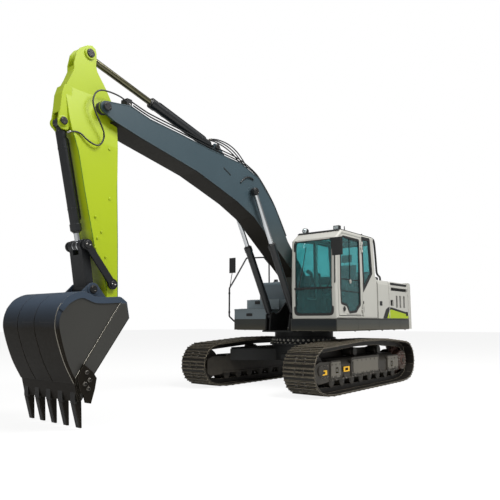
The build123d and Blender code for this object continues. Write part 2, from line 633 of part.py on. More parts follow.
def arm_form(inset, thin, top):
    """Body of the arm between its side outline and its front outline, up to a height."""
    half = [(w - thin, min(z, top)) for w, z in ARM_FRONT]
    with BuildPart() as form:
        slab(ARM_SIDE, -ARM_HW, ARM_HW, inset=inset)
        with BuildSketch(Plane.YZ) as sk:
            with BuildLine():
                Polyline(*half, *[(-w, z) for w, z in reversed(half)], close=True)
            make_face()
        extrude(sk.sketch, amount=7000, dir=(1, 0, 0), mode=Mode.INTERSECT)
    return form.part


def build_arm():
    hw = ARM_HW
    with BuildPart() as arm:
        add(arm_form(0, 0, 5100))
        add(arm_form(18, 12, 4560), mode=Mode.SUBTRACT)
        block(5200, 5800, -62, 62, 4620, 5100, Mode.SUBTRACT)
        disc(*TIP, 84, -hw - 12, hw + 12)
        disc(*TIP, 40.95, -hw - 13, hw + 13, Mode.SUBTRACT)
        disc(*BUCKET_PIN, 102, -hw, hw)
        disc(*BUCKET_PIN, 40, -hw - 1, hw + 1, Mode.SUBTRACT)
        disc(*IDLE, 72, -hw, hw)
        disc(*IDLE, 35, -hw - 1, hw + 1, Mode.SUBTRACT)
        for s in (-1, 1):
            disc(*CROWD_ROD, 82, *sorted((s * 62, s * 100)))
            # bracket of the bucket cylinder
            slab([(5690, 4300), (5800, 4305), (5835, 4180), (5845, 4000), (5862, 3830), (5855, 3745), (5800, 3700),
                  (5730, 3700), (5690, 3760), (5690, 3900)], *sorted((s * 58, s * 90)))
        slab([(5780, 4290), (5800, 4305), (5835, 4180), (5845, 4000), (5850, 3925), (5830, 3925), (5822, 4000),
              (5814, 4170)], -60, 60)
        round_bar((CURL_FOOT[0], -112, CURL_FOOT[1]), (CURL_FOOT[0], 112, CURL_FOOT[1]), 34)
    save("arm", arm)
    with BuildPart() as pins:
        round_bar((TIP[0], -BOOM_HW - 25, TIP[1]), (TIP[0], BOOM_HW + 25, TIP[1]), 40.9)
    save("arm_pivot_pin", pins)


BUCKET_OUT = [(5168, 1520), (5195, 1552), (5530, 1535), (5740, 1592), (5920, 1520), (6020, 1390), (6065, 1240),
              (6030, 1080), (5920, 790), (5790, 550), (5735, 330)]
TEETH_Y = [-510, -255, 0, 255, 510]


def build_bucket():
    hw = BUCKET_HW
    inner = [(5176, 1500), (5205, 1528), (5530, 1513), (5738, 1568), (5905, 1500), (6000, 1380), (6042, 1240),
             (6008, 1085), (5900, 800), (5768, 560), (5700, 335)]
    side = [(5085, 1490)] + BUCKET_OUT[1:] + [(5640, 420), (5530, 630), (5100, 1210), (5040, 1290)]
    with BuildPart() as bucket:
        slab(BUCKET_OUT + inner[::-1], -hw, hw)
        for s in (-1, 1):
            y0, y1 = sorted((s * (hw - 22), s * hw))
            slab(side, y0, y1)
            y0, y1 = sorted((s * (hw - 22), s * (hw + 12)))
            slab([(5085, 1490), (5040, 1290), (5100, 1210), (5530, 630), (5640, 420), (5700, 335), (5750, 420),
                  (5791, 600), (5186, 1480), (5150, 1535)], y0, y1)
            slab([(5085, 1490), (5180, 1552), (5530, 1535), (5740, 1592), (5920, 1520), (6020, 1390),
                  (5985, 1370), (5895, 1475), (5735, 1535), (5530, 1480), (5190, 1495), (5120, 1440)], y0, y1)
            # side cutter, bolted outside the edge near the lip
            y0, y1 = sorted((s * (hw + 12), s * (hw + 40)))
            slab([(5702, 756), (5575, 660), (5518, 583), (5539, 452), (5584, 296), (5654, 312), (5685, 409),
                  (5727, 427), (5778, 604)], y0, y1)
            # ears that hold the arm and the link
            y0, y1 = sorted((s * 164, s * 194))
            slab([(4915, 1290), (4930, 1220), (5000, 1195), (5075, 1225), (5180, 1480), (5560, 1480), (5560, 1545),
                  (5400, 1700), (5330, 1745), (5250, 1715), (4950, 1370)], y0, y1)
            disc(*BUCKET_PIN, 92, *sorted((s * 164, s * 206)))
            disc(*LINK_PIN, 82, *sorted((s * 164, s * 204)))
            disc(*LINK_PIN, 35, *sorted((s * 163, s * 207)), Mode.SUBTRACT)
        disc(*BUCKET_PIN, 39.95, -206, 206)
        # lip and wear strips
        slab([(5700, 330), (5738, 328), (5800, 560), (5760, 580)], -hw, hw)
        for y in (-380, 0, 380):
            slab([(5790, 550), (5920, 790), (6030, 1080), (6065, 1240), (6020, 1390), (6034, 1398), (6083, 1242),
                  (6046, 1074), (5936, 782), (5806, 544)], y - 112, y + 112)
        for y in TEETH_Y:
            slab([(5770, 470), (5690, 470), (5668, 300), (5650, 25), (5672, 25), (5752, 290)], y - 42, y + 42)
    save("bucket", bucket)


# ---- cylinders and links -----------------------------------------------------------------
def build_cylinder(name, foot, rod, y_all, bore_r, gland, rod_from, rod_r, eye_hw, pin_r):
    """Barrel from its foot pin to its gland, and the rod out to its eye."""
    with BuildPart() as barrel:
        for y in y_all:
            disc(*foot, 62, y - eye_hw, y + eye_hw)
            round_bar(along(foot, rod, 60, y), along(foot, rod, 130, y), min(bore_r, eye_hw) - 4)
            round_bar(along(foot, rod, 115, y), along(foot, rod, gland, y), bore_r)
            round_bar(along(foot, rod, gland - 90, y), along(foot, rod, gland, y), bore_r + 9)
            disc(*foot, pin_r + 0.05, y - eye_hw - 1, y + eye_hw + 1, Mode.SUBTRACT)
            round_bar(along(foot, rod, 150, y), along(foot, rod, gland + 1, y), rod_r + 0.5, Mode.SUBTRACT)
    save(f"{name}_barrel", barrel)
    with BuildPart() as rod_part:
        for y in y_all:
            round_bar(along(foot, rod, rod_from, y), along(foot, rod, math.dist(foot, rod) - 50, y), rod_r)
            disc(*rod, 72, y - eye_hw, y + eye_hw)
    save(f"{name}_rod", rod_part)


def build_cylinders():
    build_cylinder("boom_cylinder", LIFT_FOOT, LIFT_ROD, (LIFT_Y, -LIFT_Y), 68, 1510, 910, 42, 33, 38)
    build_cylinder("arm_cylinder", CROWD_FOOT, CROWD_ROD, (0,), 75, 1460, 1060, 48, 52, 38)
    build_cylinder("bucket_cylinder", CURL_FOOT, LINK_TOP, (0,), 66, 1415, 260, 40, 52, 34)
    with BuildPart() as links:
        for s in (-1, 1):
            y0, y1 = sorted((s * 178, s * 206))
            with BuildSketch(side_plane(y0)) as sk:
                with Locations(IDLE, LINK_TOP):
                    Circle(70)
                a = math.degrees(math.atan2(LINK_TOP[1] - IDLE[1], LINK_TOP[0] - IDLE[0]))
                with Locations(Location(((IDLE[0] + LINK_TOP[0]) / 2, (IDLE[1] + LINK_TOP[1]) / 2, 0), (0, 0, a))):
                    Rectangle(math.dist(IDLE, LINK_TOP), 96)
            extrude(sk.sketch, amount=y1 - y0, dir=(0, 1, 0))
            disc(*LINK_TOP, 60, *sorted((s * 141, s * 180)))
            disc(*IDLE, 34.95, *sorted((s * 100, s * 180)))
            disc(*IDLE, 52, *sorted((s * 164, s * 180)))
    save("idler_links", links)
    with BuildPart() as link:
        slab([(LINK_TOP[0] + 58, LINK_TOP[1]), (LINK_PIN[0] + 62, LINK_PIN[1]), (LINK_PIN[0] - 55, LINK_PIN[1]),
              (LINK_TOP[0] - 62, LINK_TOP[1])], -135, 135)
        disc(*LINK_TOP, 76, -135, 135)
        disc(*LINK_PIN, 74, -158, 158)
        disc(*LINK_PIN, 34.95, -204, 204)
        disc(*LINK_TOP, 130, -62, 62, Mode.SUBTRACT)
    save("power_link", link)


# ---- everything ------------------------------------------------------------------------------
for tag, s in (("left", 1), ("right", -1)):
    build_track(f"track_{tag}", s * GAUGE / 2)
    build_wheels(tag, s)
    build_track_frame(tag, s)
build_lower_frame()
build_slew_ring()
build_main_frame()
build_skirts()
build_counterweight()
build_housing()
build_right_side()
build_cab()
build_boom()
build_arm()
build_bucket()
build_cylinders()
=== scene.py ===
import math

import bmesh
import bpy
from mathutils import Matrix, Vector


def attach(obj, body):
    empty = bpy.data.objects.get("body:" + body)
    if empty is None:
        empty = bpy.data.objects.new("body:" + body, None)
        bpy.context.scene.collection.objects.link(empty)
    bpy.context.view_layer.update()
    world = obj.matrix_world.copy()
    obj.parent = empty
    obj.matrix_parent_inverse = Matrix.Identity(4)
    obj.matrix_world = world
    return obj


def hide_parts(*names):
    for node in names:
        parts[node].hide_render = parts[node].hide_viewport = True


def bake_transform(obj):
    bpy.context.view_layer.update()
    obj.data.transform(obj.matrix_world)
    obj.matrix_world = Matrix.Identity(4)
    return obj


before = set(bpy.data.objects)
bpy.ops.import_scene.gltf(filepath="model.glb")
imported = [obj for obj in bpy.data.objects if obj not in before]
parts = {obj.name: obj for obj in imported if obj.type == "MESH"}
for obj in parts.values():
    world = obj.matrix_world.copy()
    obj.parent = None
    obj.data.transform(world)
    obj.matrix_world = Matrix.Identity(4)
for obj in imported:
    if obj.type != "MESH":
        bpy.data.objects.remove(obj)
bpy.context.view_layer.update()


# ---- camera, floor and light --------------------------------------------------------------------
# The machine stands on a pale studio floor in front of a white sweep. One large soft box on the cab
# side is the key, a weak one over the front fills, and the sweep gives the rest.
def linear(code):
    """sRGB hex to the linear colour that the shader works in."""
    rgb = [int(code[i:i + 2], 16) / 255 for i in (1, 3, 5)]
    return tuple(c / 12.92 if c < 0.04045 else ((c + 0.055) / 1.055) ** 2.4 for c in rgb) + (1.0,)


def add(tree, kind, props=None, values=None, links=None):
    """Adds one shader or geometry node with its settings, socket values and links."""
    made = tree.nodes.new(kind)
    for key, value in (props or {}).items():
        setattr(made, key, value)
    for key, value in (values or {}).items():
        made.inputs[key].default_value = value
    for key, socket in (links or {}).items():
        tree.links.new(socket, made.inputs[key])
    return made


def blank_material(name, values=None):
    """A material with only its Principled shader, set to a few constant values, and its output."""
    material = bpy.data.materials.new(name)
    material.use_nodes = True
    tree = material.node_tree
    tree.nodes.clear()
    shader = add(tree, "ShaderNodeBsdfPrincipled", values=values)
    add(tree, "ShaderNodeOutputMaterial", links={"Surface": shader.outputs["BSDF"]})
    return material, tree, shader


def placed(name, data):
    """A new object at the origin."""
    piece = bpy.data.objects.new(name, data)
    bpy.context.collection.objects.link(piece)
    return piece


# the camera stands 11.2 m off, at hip height, and looks a little up
camera_data = bpy.data.cameras.new("camera")
camera_data.lens = 38.03
camera_data.sensor_width = 36.0
camera = placed("camera", camera_data)
camera.location = (9.4153, 6.0048, 1.2407)
camera.rotation_euler = (math.radians(90 + 7.756), 0, math.radians(218.285 - 90))
bpy.context.scene.camera = camera
bpy.context.scene.view_settings.view_transform = "Standard"

# the floor is matt paint that keeps the shadow, and shows nearly white where it is seen or mirrored
floor_mesh = bpy.data.meshes.new("studio_floor")
floor_mesh.from_pydata([(-60, -60, 0), (60, -60, 0), (60, 60, 0), (-60, 60, 0)], [], [(0, 1, 2, 3)])
studio_floor = placed("studio_floor", floor_mesh)
floor_paint, floor_tree, floor_shader = blank_material(
    "matt_floor_paint", {"Base Color": linear("#D8D8D6"), "Roughness": 0.9})
floor_rays = add(floor_tree, "ShaderNodeLightPath")
mirrored = add(floor_tree, "ShaderNodeMath", {"operation": "MULTIPLY"}, {1: 0.45},
               {0: floor_rays.outputs["Is Glossy Ray"]})
seen = add(floor_tree, "ShaderNodeMath", {"operation": "MAXIMUM"},
           links={0: floor_rays.outputs["Is Camera Ray"], 1: mirrored.outputs[0]})
seen_through = add(floor_tree, "ShaderNodeMath", {"operation": "MAXIMUM"},
                   links={0: seen.outputs[0], 1: floor_rays.outputs["Is Transmission Ray"]})
lift = add(floor_tree, "ShaderNodeMath", {"operation": "MULTIPLY"}, {1: 0.8}, {0: seen_through.outputs[0]})
glow = add(floor_tree, "ShaderNodeEmission", values={"Color": (1, 1, 1, 1), "Strength": 1.08})
floor_mix = add(floor_tree, "ShaderNodeMixShader",
                links={0: lift.outputs[0], 1: floor_shader.outputs[0], 2: glow.outputs[0]})
floor_tree.links.new(floor_mix.outputs[0], floor_tree.nodes["Material Output"].inputs["Surface"])
floor_mesh.materials.append(floor_paint)

world = bpy.data.worlds.new("studio")
bpy.context.scene.world = world
world.use_nodes = True
sweep = world.node_tree
sweep.nodes.clear()
sweep_rays = add(sweep, "ShaderNodeLightPath")
fill_light = add(sweep, "ShaderNodeBackground", values={"Color": (1, 1, 1, 1), "Strength": 0.32})
white_sweep = add(sweep, "ShaderNodeBackground", values={"Color": (1, 1, 1, 1), "Strength": 1.0})
sweep_seen = add(sweep, "ShaderNodeMath", {"operation": "MAXIMUM"},
                 links={0: sweep_rays.outputs["Is Camera Ray"], 1: sweep_rays.outputs["Is Transmission Ray"]})
sweep_mix = add(sweep, "ShaderNodeMixShader", links={
    0: sweep_seen.outputs[0], 1: fill_light.outputs[0], 2: white_sweep.outputs[0]})
add(sweep, "ShaderNodeOutputWorld", links={"Surface": sweep_mix.outputs[0]})

# soft boxes: name, place, aimed at, width, height, watts
SOFT_BOXES = [("cab_side_box", (1.5, 8.5, 14.0), (1.0, 0, 1.8), 8.0, 6.0, 2750.0),
              ("front_box", (15.0, 3.0, 14.0), (2, 0, 2.0), 6.0, 6.0, 1350.0)]
for name, place, target, width, height, watts in SOFT_BOXES:
    lamp = bpy.data.lights.new(name, "AREA")
    lamp.shape, lamp.size, lamp.size_y, lamp.energy = "RECTANGLE", width, height, watts
    box = placed(name, lamp)
    box.location = place
    box.rotation_euler = (Vector(target) - Vector(place)).to_track_quat("-Z", "Y").to_euler()


# ---- tracks -------------------------------------------------------------------------------------
# Each track is a chain of forged links with 49 triple-bar shoes of rolled manganese steel, each
# held by four hex bolts. Bare steel: brown-grey mill scale, rubbed bright along the bars.
def worn(tree, radius, start=0.985, end=0.86):
    """Where edges are rubbed, from 0 to 1, and the normal that rounds them by a radius."""
    rounded = add(tree, "ShaderNodeBevel", {"samples": 4}, {"Radius": radius})
    flat = add(tree, "ShaderNodeNewGeometry")
    facing = add(tree, "ShaderNodeVectorMath", {"operation": "DOT_PRODUCT"},
                 links={0: rounded.outputs[0], 1: flat.outputs["Normal"]})
    mask = add(tree, "ShaderNodeMapRange", values={1: start, 2: end, 3: 0.0, 4: 1.0},
               links={0: facing.outputs["Value"]})
    return mask.outputs[0], rounded.outputs[0]


def bare_steel(name, colour, scale_colour, worn_colour, roughness, grain, metallic=0.85,
               rubbed=(0.006, 0.985, 0.86)):
    """Unpainted steel: two tones of scale in patches of one grain width in metres, bright edges."""
    material, tree, shader = blank_material(name)
    place = add(tree, "ShaderNodeTexCoord").outputs["Object"]
    scale = add(tree, "ShaderNodeTexNoise", values={"Scale": 1 / grain, "Detail": 8.0, "Roughness": 0.65},
                links={"Vector": place})
    patch = add(tree, "ShaderNodeMapRange", values={1: 0.38, 2: 0.64}, links={0: scale.outputs["Fac"]})
    tone = add(tree, "ShaderNodeMix", {"data_type": "RGBA"}, {6: linear(colour), 7: linear(scale_colour)},
               {0: patch.outputs[0]})
    edge, rounded = worn(tree, *rubbed)
    lit = add(tree, "ShaderNodeMix", {"data_type": "RGBA"}, {7: linear(worn_colour)},
              {0: edge, 6: tone.outputs[2]})
    tree.links.new(lit.outputs[2], shader.inputs["Base Color"])
    sheen = add(tree, "ShaderNodeMapRange", values={3: roughness - 0.1, 4: roughness + 0.15},
                links={0: scale.outputs["Fac"]})
    tree.links.new(sheen.outputs[0], shader.inputs["Roughness"])
    pits = add(tree, "ShaderNodeBump", values={"Strength": 0.25, "Distance": 0.003},
               links={"Height": scale.outputs["Fac"], "Normal": rounded})
    tree.links.new(pits.outputs[0], shader.inputs["Normal"])
    shader.inputs["Metallic"].default_value = metallic
    return material


def dress(finish, *names):
    """Gives the frame's own pieces their finish."""
    for name in names:
        slots = parts[name].data.materials
        if not slots:
            slots.append(finish)
        for i in range(len(slots)):
            slots[i] = finish


def geometry_tree(name, *sizes):
    """A Geometry Nodes tree with named inputs and its input node."""
    tree = bpy.data.node_groups.new(name, "GeometryNodeTree")
    tree.interface.new_socket("Geometry", in_out="INPUT", socket_type="NodeSocketGeometry")
    for size in sizes:
        tree.interface.new_socket(size, in_out="INPUT", socket_type="NodeSocketFloat")
    tree.interface.new_socket("Finish", in_out="INPUT", socket_type="NodeSocketMaterial")
    tree.interface.new_socket("Geometry", in_out="OUTPUT", socket_type="NodeSocketGeometry")
    return tree, add(tree, "NodeGroupInput")


def close_tree(tree, given, geometry):
    """Ends a tree in Realize Instances and Set Material."""
    real = add(tree, "GeometryNodeRealizeInstances", links={"Geometry": geometry})
    coated = add(tree, "GeometryNodeSetMaterial",
                 links={"Geometry": real.outputs[0], "Material": given.outputs["Finish"]})
    add(tree, "NodeGroupOutput", links={"Geometry": coated.outputs[0]})


def grown(name, tree, body, mesh, finish, **sizes):
    """Runs a tree on a mesh and keeps the result as a plain mesh that rides on a body."""
    piece = placed(name, mesh)
    modifier = piece.modifiers.new(name, "NODES")
    modifier.node_group = tree
    for socket in tree.interface.items_tree:
        if socket.in_out == "INPUT" and socket.name in sizes:
            modifier[socket.identifier] = sizes[socket.name]
        elif socket.in_out == "INPUT" and socket.name == "Finish":
            modifier[socket.identifier] = finish
    evaluated = piece.evaluated_get(bpy.context.evaluated_depsgraph_get())
    result = bpy.data.meshes.new_from_object(evaluated)
    piece.modifiers.clear()
    piece.data = result
    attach(piece, body)
    return piece


# bolt tree: a hex head on a round washer at each point, turned to face the point's lean
bolt_tree, given = geometry_tree("hex_bolts", "Across", "Height", "Washer")
half_across = add(bolt_tree, "ShaderNodeMath", {"operation": "MULTIPLY"}, {1: 0.577},
                  {0: given.outputs["Across"]})
head = add(bolt_tree, "GeometryNodeMeshCylinder", values={"Vertices": 6},
           links={"Radius": half_across.outputs[0], "Depth": given.outputs["Height"]})
washer_height = add(bolt_tree, "ShaderNodeMath", {"operation": "MULTIPLY"}, {1: 0.3},
                    {0: given.outputs["Height"]})
washer = add(bolt_tree, "GeometryNodeMeshCylinder", values={"Vertices": 12},
             links={"Radius": given.outputs["Washer"], "Depth": washer_height.outputs[0]})
half_height = add(bolt_tree, "ShaderNodeMath", {"operation": "MULTIPLY"}, {1: 0.5},
                  {0: given.outputs["Height"]})
rise = add(bolt_tree, "ShaderNodeCombineXYZ", links={"Z": half_height.outputs[0]})
raised = add(bolt_tree, "GeometryNodeTransform",
             links={"Geometry": head.outputs["Mesh"], "Translation": rise.outputs[0]})
bolt = add(bolt_tree, "GeometryNodeJoinGeometry", links={"Geometry": raised.outputs[0]})
bolt_tree.links.new(washer.outputs["Mesh"], bolt.inputs["Geometry"])
lean = add(bolt_tree, "GeometryNodeInputNamedAttribute", {"data_type": "FLOAT_VECTOR"}, {"Name": "lean"})
turn = add(bolt_tree, "FunctionNodeAlignRotationToVector", {"axis": "Z"},
           links={"Vector": lean.outputs["Attribute"]})
set_bolts = add(bolt_tree, "GeometryNodeInstanceOnPoints", links={
    "Points": given.outputs["Geometry"], "Instance": bolt.outputs[0], "Rotation": turn.outputs[0]})
close_tree(bolt_tree, given, set_bolts.outputs[0])


def point_mesh(name, spots, wires=()):
    """A mesh of bare points, and of edges between them where wires are given."""
    mesh = bpy.data.meshes.new(name)
    mesh.from_pydata(spots, list(wires), [])
    return mesh


def bolts(name, body, spots, across, finish):
    """Hex bolts of one size at spots, each a point and the way its head faces."""
    mesh = point_mesh(name, [point for point, way in spots])
    mesh.attributes.new("lean", "FLOAT_VECTOR", "POINT")
    for i, (point, way) in enumerate(spots):
        mesh.attributes["lean"].data[i].vector = way
    return grown(name, bolt_tree, body, mesh, finish, Across=across, Height=across * 0.62,
                 Washer=across * 0.78)


GAUGE, WHEEL_Z, PIN_R = 2.38, 0.432, 0.323
IDLER_X, SPROCKET_X = 1.68, -1.78
CARRIER_X, CARRIER_Z, SHOES = (0.28, -0.75), 0.835, 49


def outer_loop(points):
    """The tight loop round a set of points, anticlockwise from the one furthest back."""
    points = sorted(set(points))

    def half(run):
        out = []
        for p in run:
            while len(out) > 1 and ((out[-1][0] - out[-2][0]) * (p[1] - out[-2][1])
                                    - (out[-1][1] - out[-2][1]) * (p[0] - out[-2][0])) <= 0:
                out.pop()
            out.append(p)
        return out[:-1]
    return half(points) + half(points[::-1])


def chain_pins():
    """Chain pin places round both wheels and over the carrier rollers."""
    points = [(-1.5, 0.082), (1.4, 0.082)] + [(x, CARRIER_Z) for x in CARRIER_X]
    for cx in (IDLER_X, SPROCKET_X):
        points += [(cx + PIN_R * math.cos(math.radians(a)), WHEEL_Z + PIN_R * math.sin(math.radians(a)))
                   for a in range(0, 360, 4)]
    loop = outer_loop(points)
    loop.append(loop[0])
    runs = [math.dist(a, b) for a, b in zip(loop, loop[1:])]
    found, i, gone = [], 0, 0.0
    for k in range(SHOES):
        while gone + runs[i] < k * sum(runs) / SHOES:
            gone += runs[i]
            i += 1
        t = (k * sum(runs) / SHOES - gone) / runs[i]
        found.append((loop[i][0] + (loop[i + 1][0] - loop[i][0]) * t,
                      loop[i][1] + (loop[i + 1][1] - loop[i][1]) * t))
    return found


shoe_steel = bare_steel("rolled_shoe_steel", "#171410", "#211E19", "#9F9581", 0.5, 0.06, 0.5,
                        (0.009, 0.99, 0.92))
bolt_steel = bare_steel("black_oxide_bolt_steel", "#1D1C1B", "#2B2927", "#8F8A82", 0.4, 0.02)
dress(shoe_steel, "track_left", "track_right")
pins = chain_pins()
for side, tag in ((1, "left"), (-1, "right")):
    spots = []
    for (ax, az), (bx, bz) in zip(pins, pins[1:] + pins[:1]):
        n = math.dist((ax, az), (bx, bz))
        ux, uz = (bx - ax) / n, (bz - az) / n
        for share in (0.29, 0.65):
            for dy in (-0.085, 0.085):
                spots.append(((ax + ux * share * n + uz * 0.058, side * GAUGE / 2 + dy,
                               az + uz * share * n - ux * 0.058), (uz, 0, -ux)))
    bolts(f"shoe_bolts_{tag}", "undercarriage", spots, 0.028, bolt_steel)


# ---- track frames, rollers and wheels -------------------------------------------------------------
# Box frames folded and welded from steel plate, with cast rollers, a cast idler in front and the
# drive sprocket behind. Sprayed dark brown-grey; road dust lies thickest near the ground.
def sprayed_paint(name, colour, shade, roughness=0.38, edge="#8A8A86", rub=0.5, dust=0.0,
                  low=None, levels=(0.0, 1.0), gloss=0.35):
    """Two-pack enamel on steel: cloudy tone, orange peel, rubbed edges, and dust or a second
    colour that comes in between two heights in metres. The peel is drawn at 6 mm, coarser than
    the real 1 to 2 mm, because that would not show."""
    material, tree, shader = blank_material(name)
    place = add(tree, "ShaderNodeTexCoord").outputs["Object"]
    height = add(tree, "ShaderNodeSeparateXYZ", links={0: place}).outputs["Z"]
    cloud = add(tree, "ShaderNodeTexNoise", values={"Scale": 1.7, "Detail": 5.0}, links={"Vector": place})
    scuff = add(tree, "ShaderNodeTexNoise", values={"Scale": 28.0, "Detail": 4.0}, links={"Vector": place})
    tone = add(tree, "ShaderNodeMix", {"data_type": "RGBA"}, {6: linear(colour), 7: linear(shade)},
               {0: cloud.outputs["Fac"]}).outputs[2]
    if low:
        wavy = add(tree, "ShaderNodeMath", {"operation": "MULTIPLY_ADD"}, {1: 0.25 * (levels[1] - levels[0])},
                   {0: cloud.outputs["Fac"], 2: height})
        share = add(tree, "ShaderNodeMapRange", values={1: levels[1], 2: levels[0]},
                    links={0: wavy.outputs[0]})
        tone = add(tree, "ShaderNodeMix", {"data_type": "RGBA"}, {7: linear(low)},
                   {0: share.outputs[0], 6: tone}).outputs[2]
    edge_mask, rounded = worn(tree, 0.005)
    broken = add(tree, "ShaderNodeMath", {"operation": "MULTIPLY"},
                 links={0: edge_mask, 1: scuff.outputs["Fac"]})
    rubbed = add(tree, "ShaderNodeMath", {"operation": "MULTIPLY"}, {1: rub}, {0: broken.outputs[0]})
    tone = add(tree, "ShaderNodeMix", {"data_type": "RGBA"}, {7: linear(edge)},
               {0: rubbed.outputs[0], 6: tone}).outputs[2]
    if dust:
        near_ground = add(tree, "ShaderNodeMapRange", values={1: 0.9, 2: 0.0, 3: 0.0, 4: dust},
                          links={0: height})
        speckle = add(tree, "ShaderNodeTexNoise", values={"Scale": 9.0, "Detail": 8.0},
                      links={"Vector": place})
        cover = add(tree, "ShaderNodeMath", {"operation": "MULTIPLY"},
                    links={0: near_ground.outputs[0], 1: speckle.outputs["Fac"]})
        tone = add(tree, "ShaderNodeMix", {"data_type": "RGBA"}, {7: linear("#7D7362")},
                   {0: cover.outputs[0], 6: tone}).outputs[2]
    tree.links.new(tone, shader.inputs["Base Color"])
    sheen = add(tree, "ShaderNodeMapRange", values={3: roughness - 0.05, 4: roughness + 0.12},
                links={0: scuff.outputs["Fac"]})
    tree.links.new(sheen.outputs[0], shader.inputs["Roughness"])
    peel = add(tree, "ShaderNodeTexNoise", values={"Scale": 160.0, "Detail": 2.0}, links={"Vector": place})
    skin = add(tree, "ShaderNodeBump", values={"Strength": 0.06, "Distance": 0.002},
               links={"Height": peel.outputs["Fac"], "Normal": rounded})
    tree.links.new(skin.outputs[0], shader.inputs["Normal"])
    shader.inputs["Specular IOR Level"].default_value = gloss
    return material


# where an outline's point (u, v) lies at a depth d, for shapes that are pushed along each axis
def along_x(u, v, d):
    return (d, u, v)


def along_y(u, v, d):
    return (u, d, v)


def along_z(u, v, d):
    return (u, v, d)


def oblong(u0, u1, v0, v1):
    """The outline of a rectangle."""
    return [(u0, v0), (u1, v0), (u1, v1), (u0, v1)]


def extruded(shape, outline, low, high, place):
    """Adds a prism: the outline (u, v) pushed from low to high, put in place by a function."""
    near = [shape.verts.new(place(u, v, low)) for u, v in outline]
    far = [shape.verts.new(place(u, v, high)) for u, v in outline]
    shape.faces.new(near)
    shape.faces.new(far[::-1])
    for i in range(len(outline)):
        j = (i + 1) % len(outline)
        shape.faces.new((near[i], near[j], far[j], far[i]))


def plate(shape, outline, side, inner, outer):
    """Adds a plate at one side of the machine, between two distances from its middle."""
    extruded(shape, outline, *sorted((side * inner, side * outer)), along_y)


def bar(shape, x0, x1, y0, y1, z0, z1):
    """Adds a square-cut bar."""
    extruded(shape, oblong(x0, x1, z0, z1), y0, y1, along_y)


def lathed(shape, centre, axis, profile, sides=28):
    """Adds a turned form: (distance along the axis, radius) pairs about an axis through a point."""
    aim = Vector(axis).normalized()
    turn = aim.to_track_quat("Z", "Y").to_matrix()
    rings = []
    for d, r in profile:
        rings.append([shape.verts.new(Vector(centre) + turn @ Vector(
            (r * math.cos(2 * math.pi * k / sides), r * math.sin(2 * math.pi * k / sides), d)))
            for k in range(sides)])
    for lower, upper in zip(rings, rings[1:]):
        for k in range(sides):
            j = (k + 1) % sides
            shape.faces.new((lower[k], lower[j], upper[j], upper[k]))
    shape.faces.new(rings[0][::-1])
    shape.faces.new(rings[-1])


def rounded_corners(outline, radius, steps=5):
    """The outline with each corner replaced by an arc."""
    out = []
    for i, corner in enumerate(outline):
        c = Vector(corner)
        a, b = Vector(outline[i - 1]) - c, Vector(outline[(i + 1) % len(outline)]) - c
        reach = min(radius, a.length / 2.01, b.length / 2.01)
        for k in range(steps + 1):
            t = k / steps
            out.append(tuple(c + a.normalized() * reach * (1 - t) ** 2 + b.normalized() * reach * t ** 2))
    return out


def formed(name, shape, finish, smooth):
    """Turns a worked shape into an object of one finish, with its faces pointing outwards."""
    bmesh.ops.recalc_face_normals(shape, faces=shape.faces)
    mesh = bpy.data.meshes.new(name)
    shape.to_mesh(mesh)
    shape.free()
    mesh.materials.append(finish)
    for face in mesh.polygons:
        face.use_smooth = smooth
    return placed(name, mesh)


def settle(name, shape, finish, body, bevel=0.0, smooth=False):
    """Turns a worked shape into a piece that rides on a body, with its edges broken."""
    piece = formed(name, shape, finish, smooth)
    if bevel:
        edge = piece.modifiers.new("edge", "BEVEL")
        edge.width, edge.segments, edge.limit_method = bevel, 2, "ANGLE"
    if smooth:
        sharp = piece.modifiers.new("sharp", "EDGE_SPLIT")
        sharp.split_angle = math.radians(35)
    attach(piece, body)
    return piece


# enamel on plate that lives in dirt: matt and nearly black, its edges rubbed pale, dust below
track_enamel = sprayed_paint("dark_brown_grey_enamel", "#211F1B", "#191714", 0.5, edge="#6E675B", dust=0.25)
cover_enamel = sprayed_paint("brown_grey_cover_enamel", "#605D54", "#53504A", 0.5, edge="#8C8474", dust=0.3)
roller_enamel = sprayed_paint("black_brown_enamel", "#191714", "#131210", 0.5, edge="#5E574C", dust=0.3)
drive_enamel = sprayed_paint("red_brown_primer", "#43271F", "#33211C", 0.5, edge="#6B5048", dust=0.3)
yellow_enamel = sprayed_paint("yellow_enamel", "#E8B416", "#D9A40F", 0.35, edge="#9A7B20", rub=0.3)
dress(track_enamel, "track_frame_left", "track_frame_right")
dress(roller_enamel, "rollers_left", "rollers_right", "idler_left", "idler_right")
dress(drive_enamel, "sprocket_left", "sprocket_right")

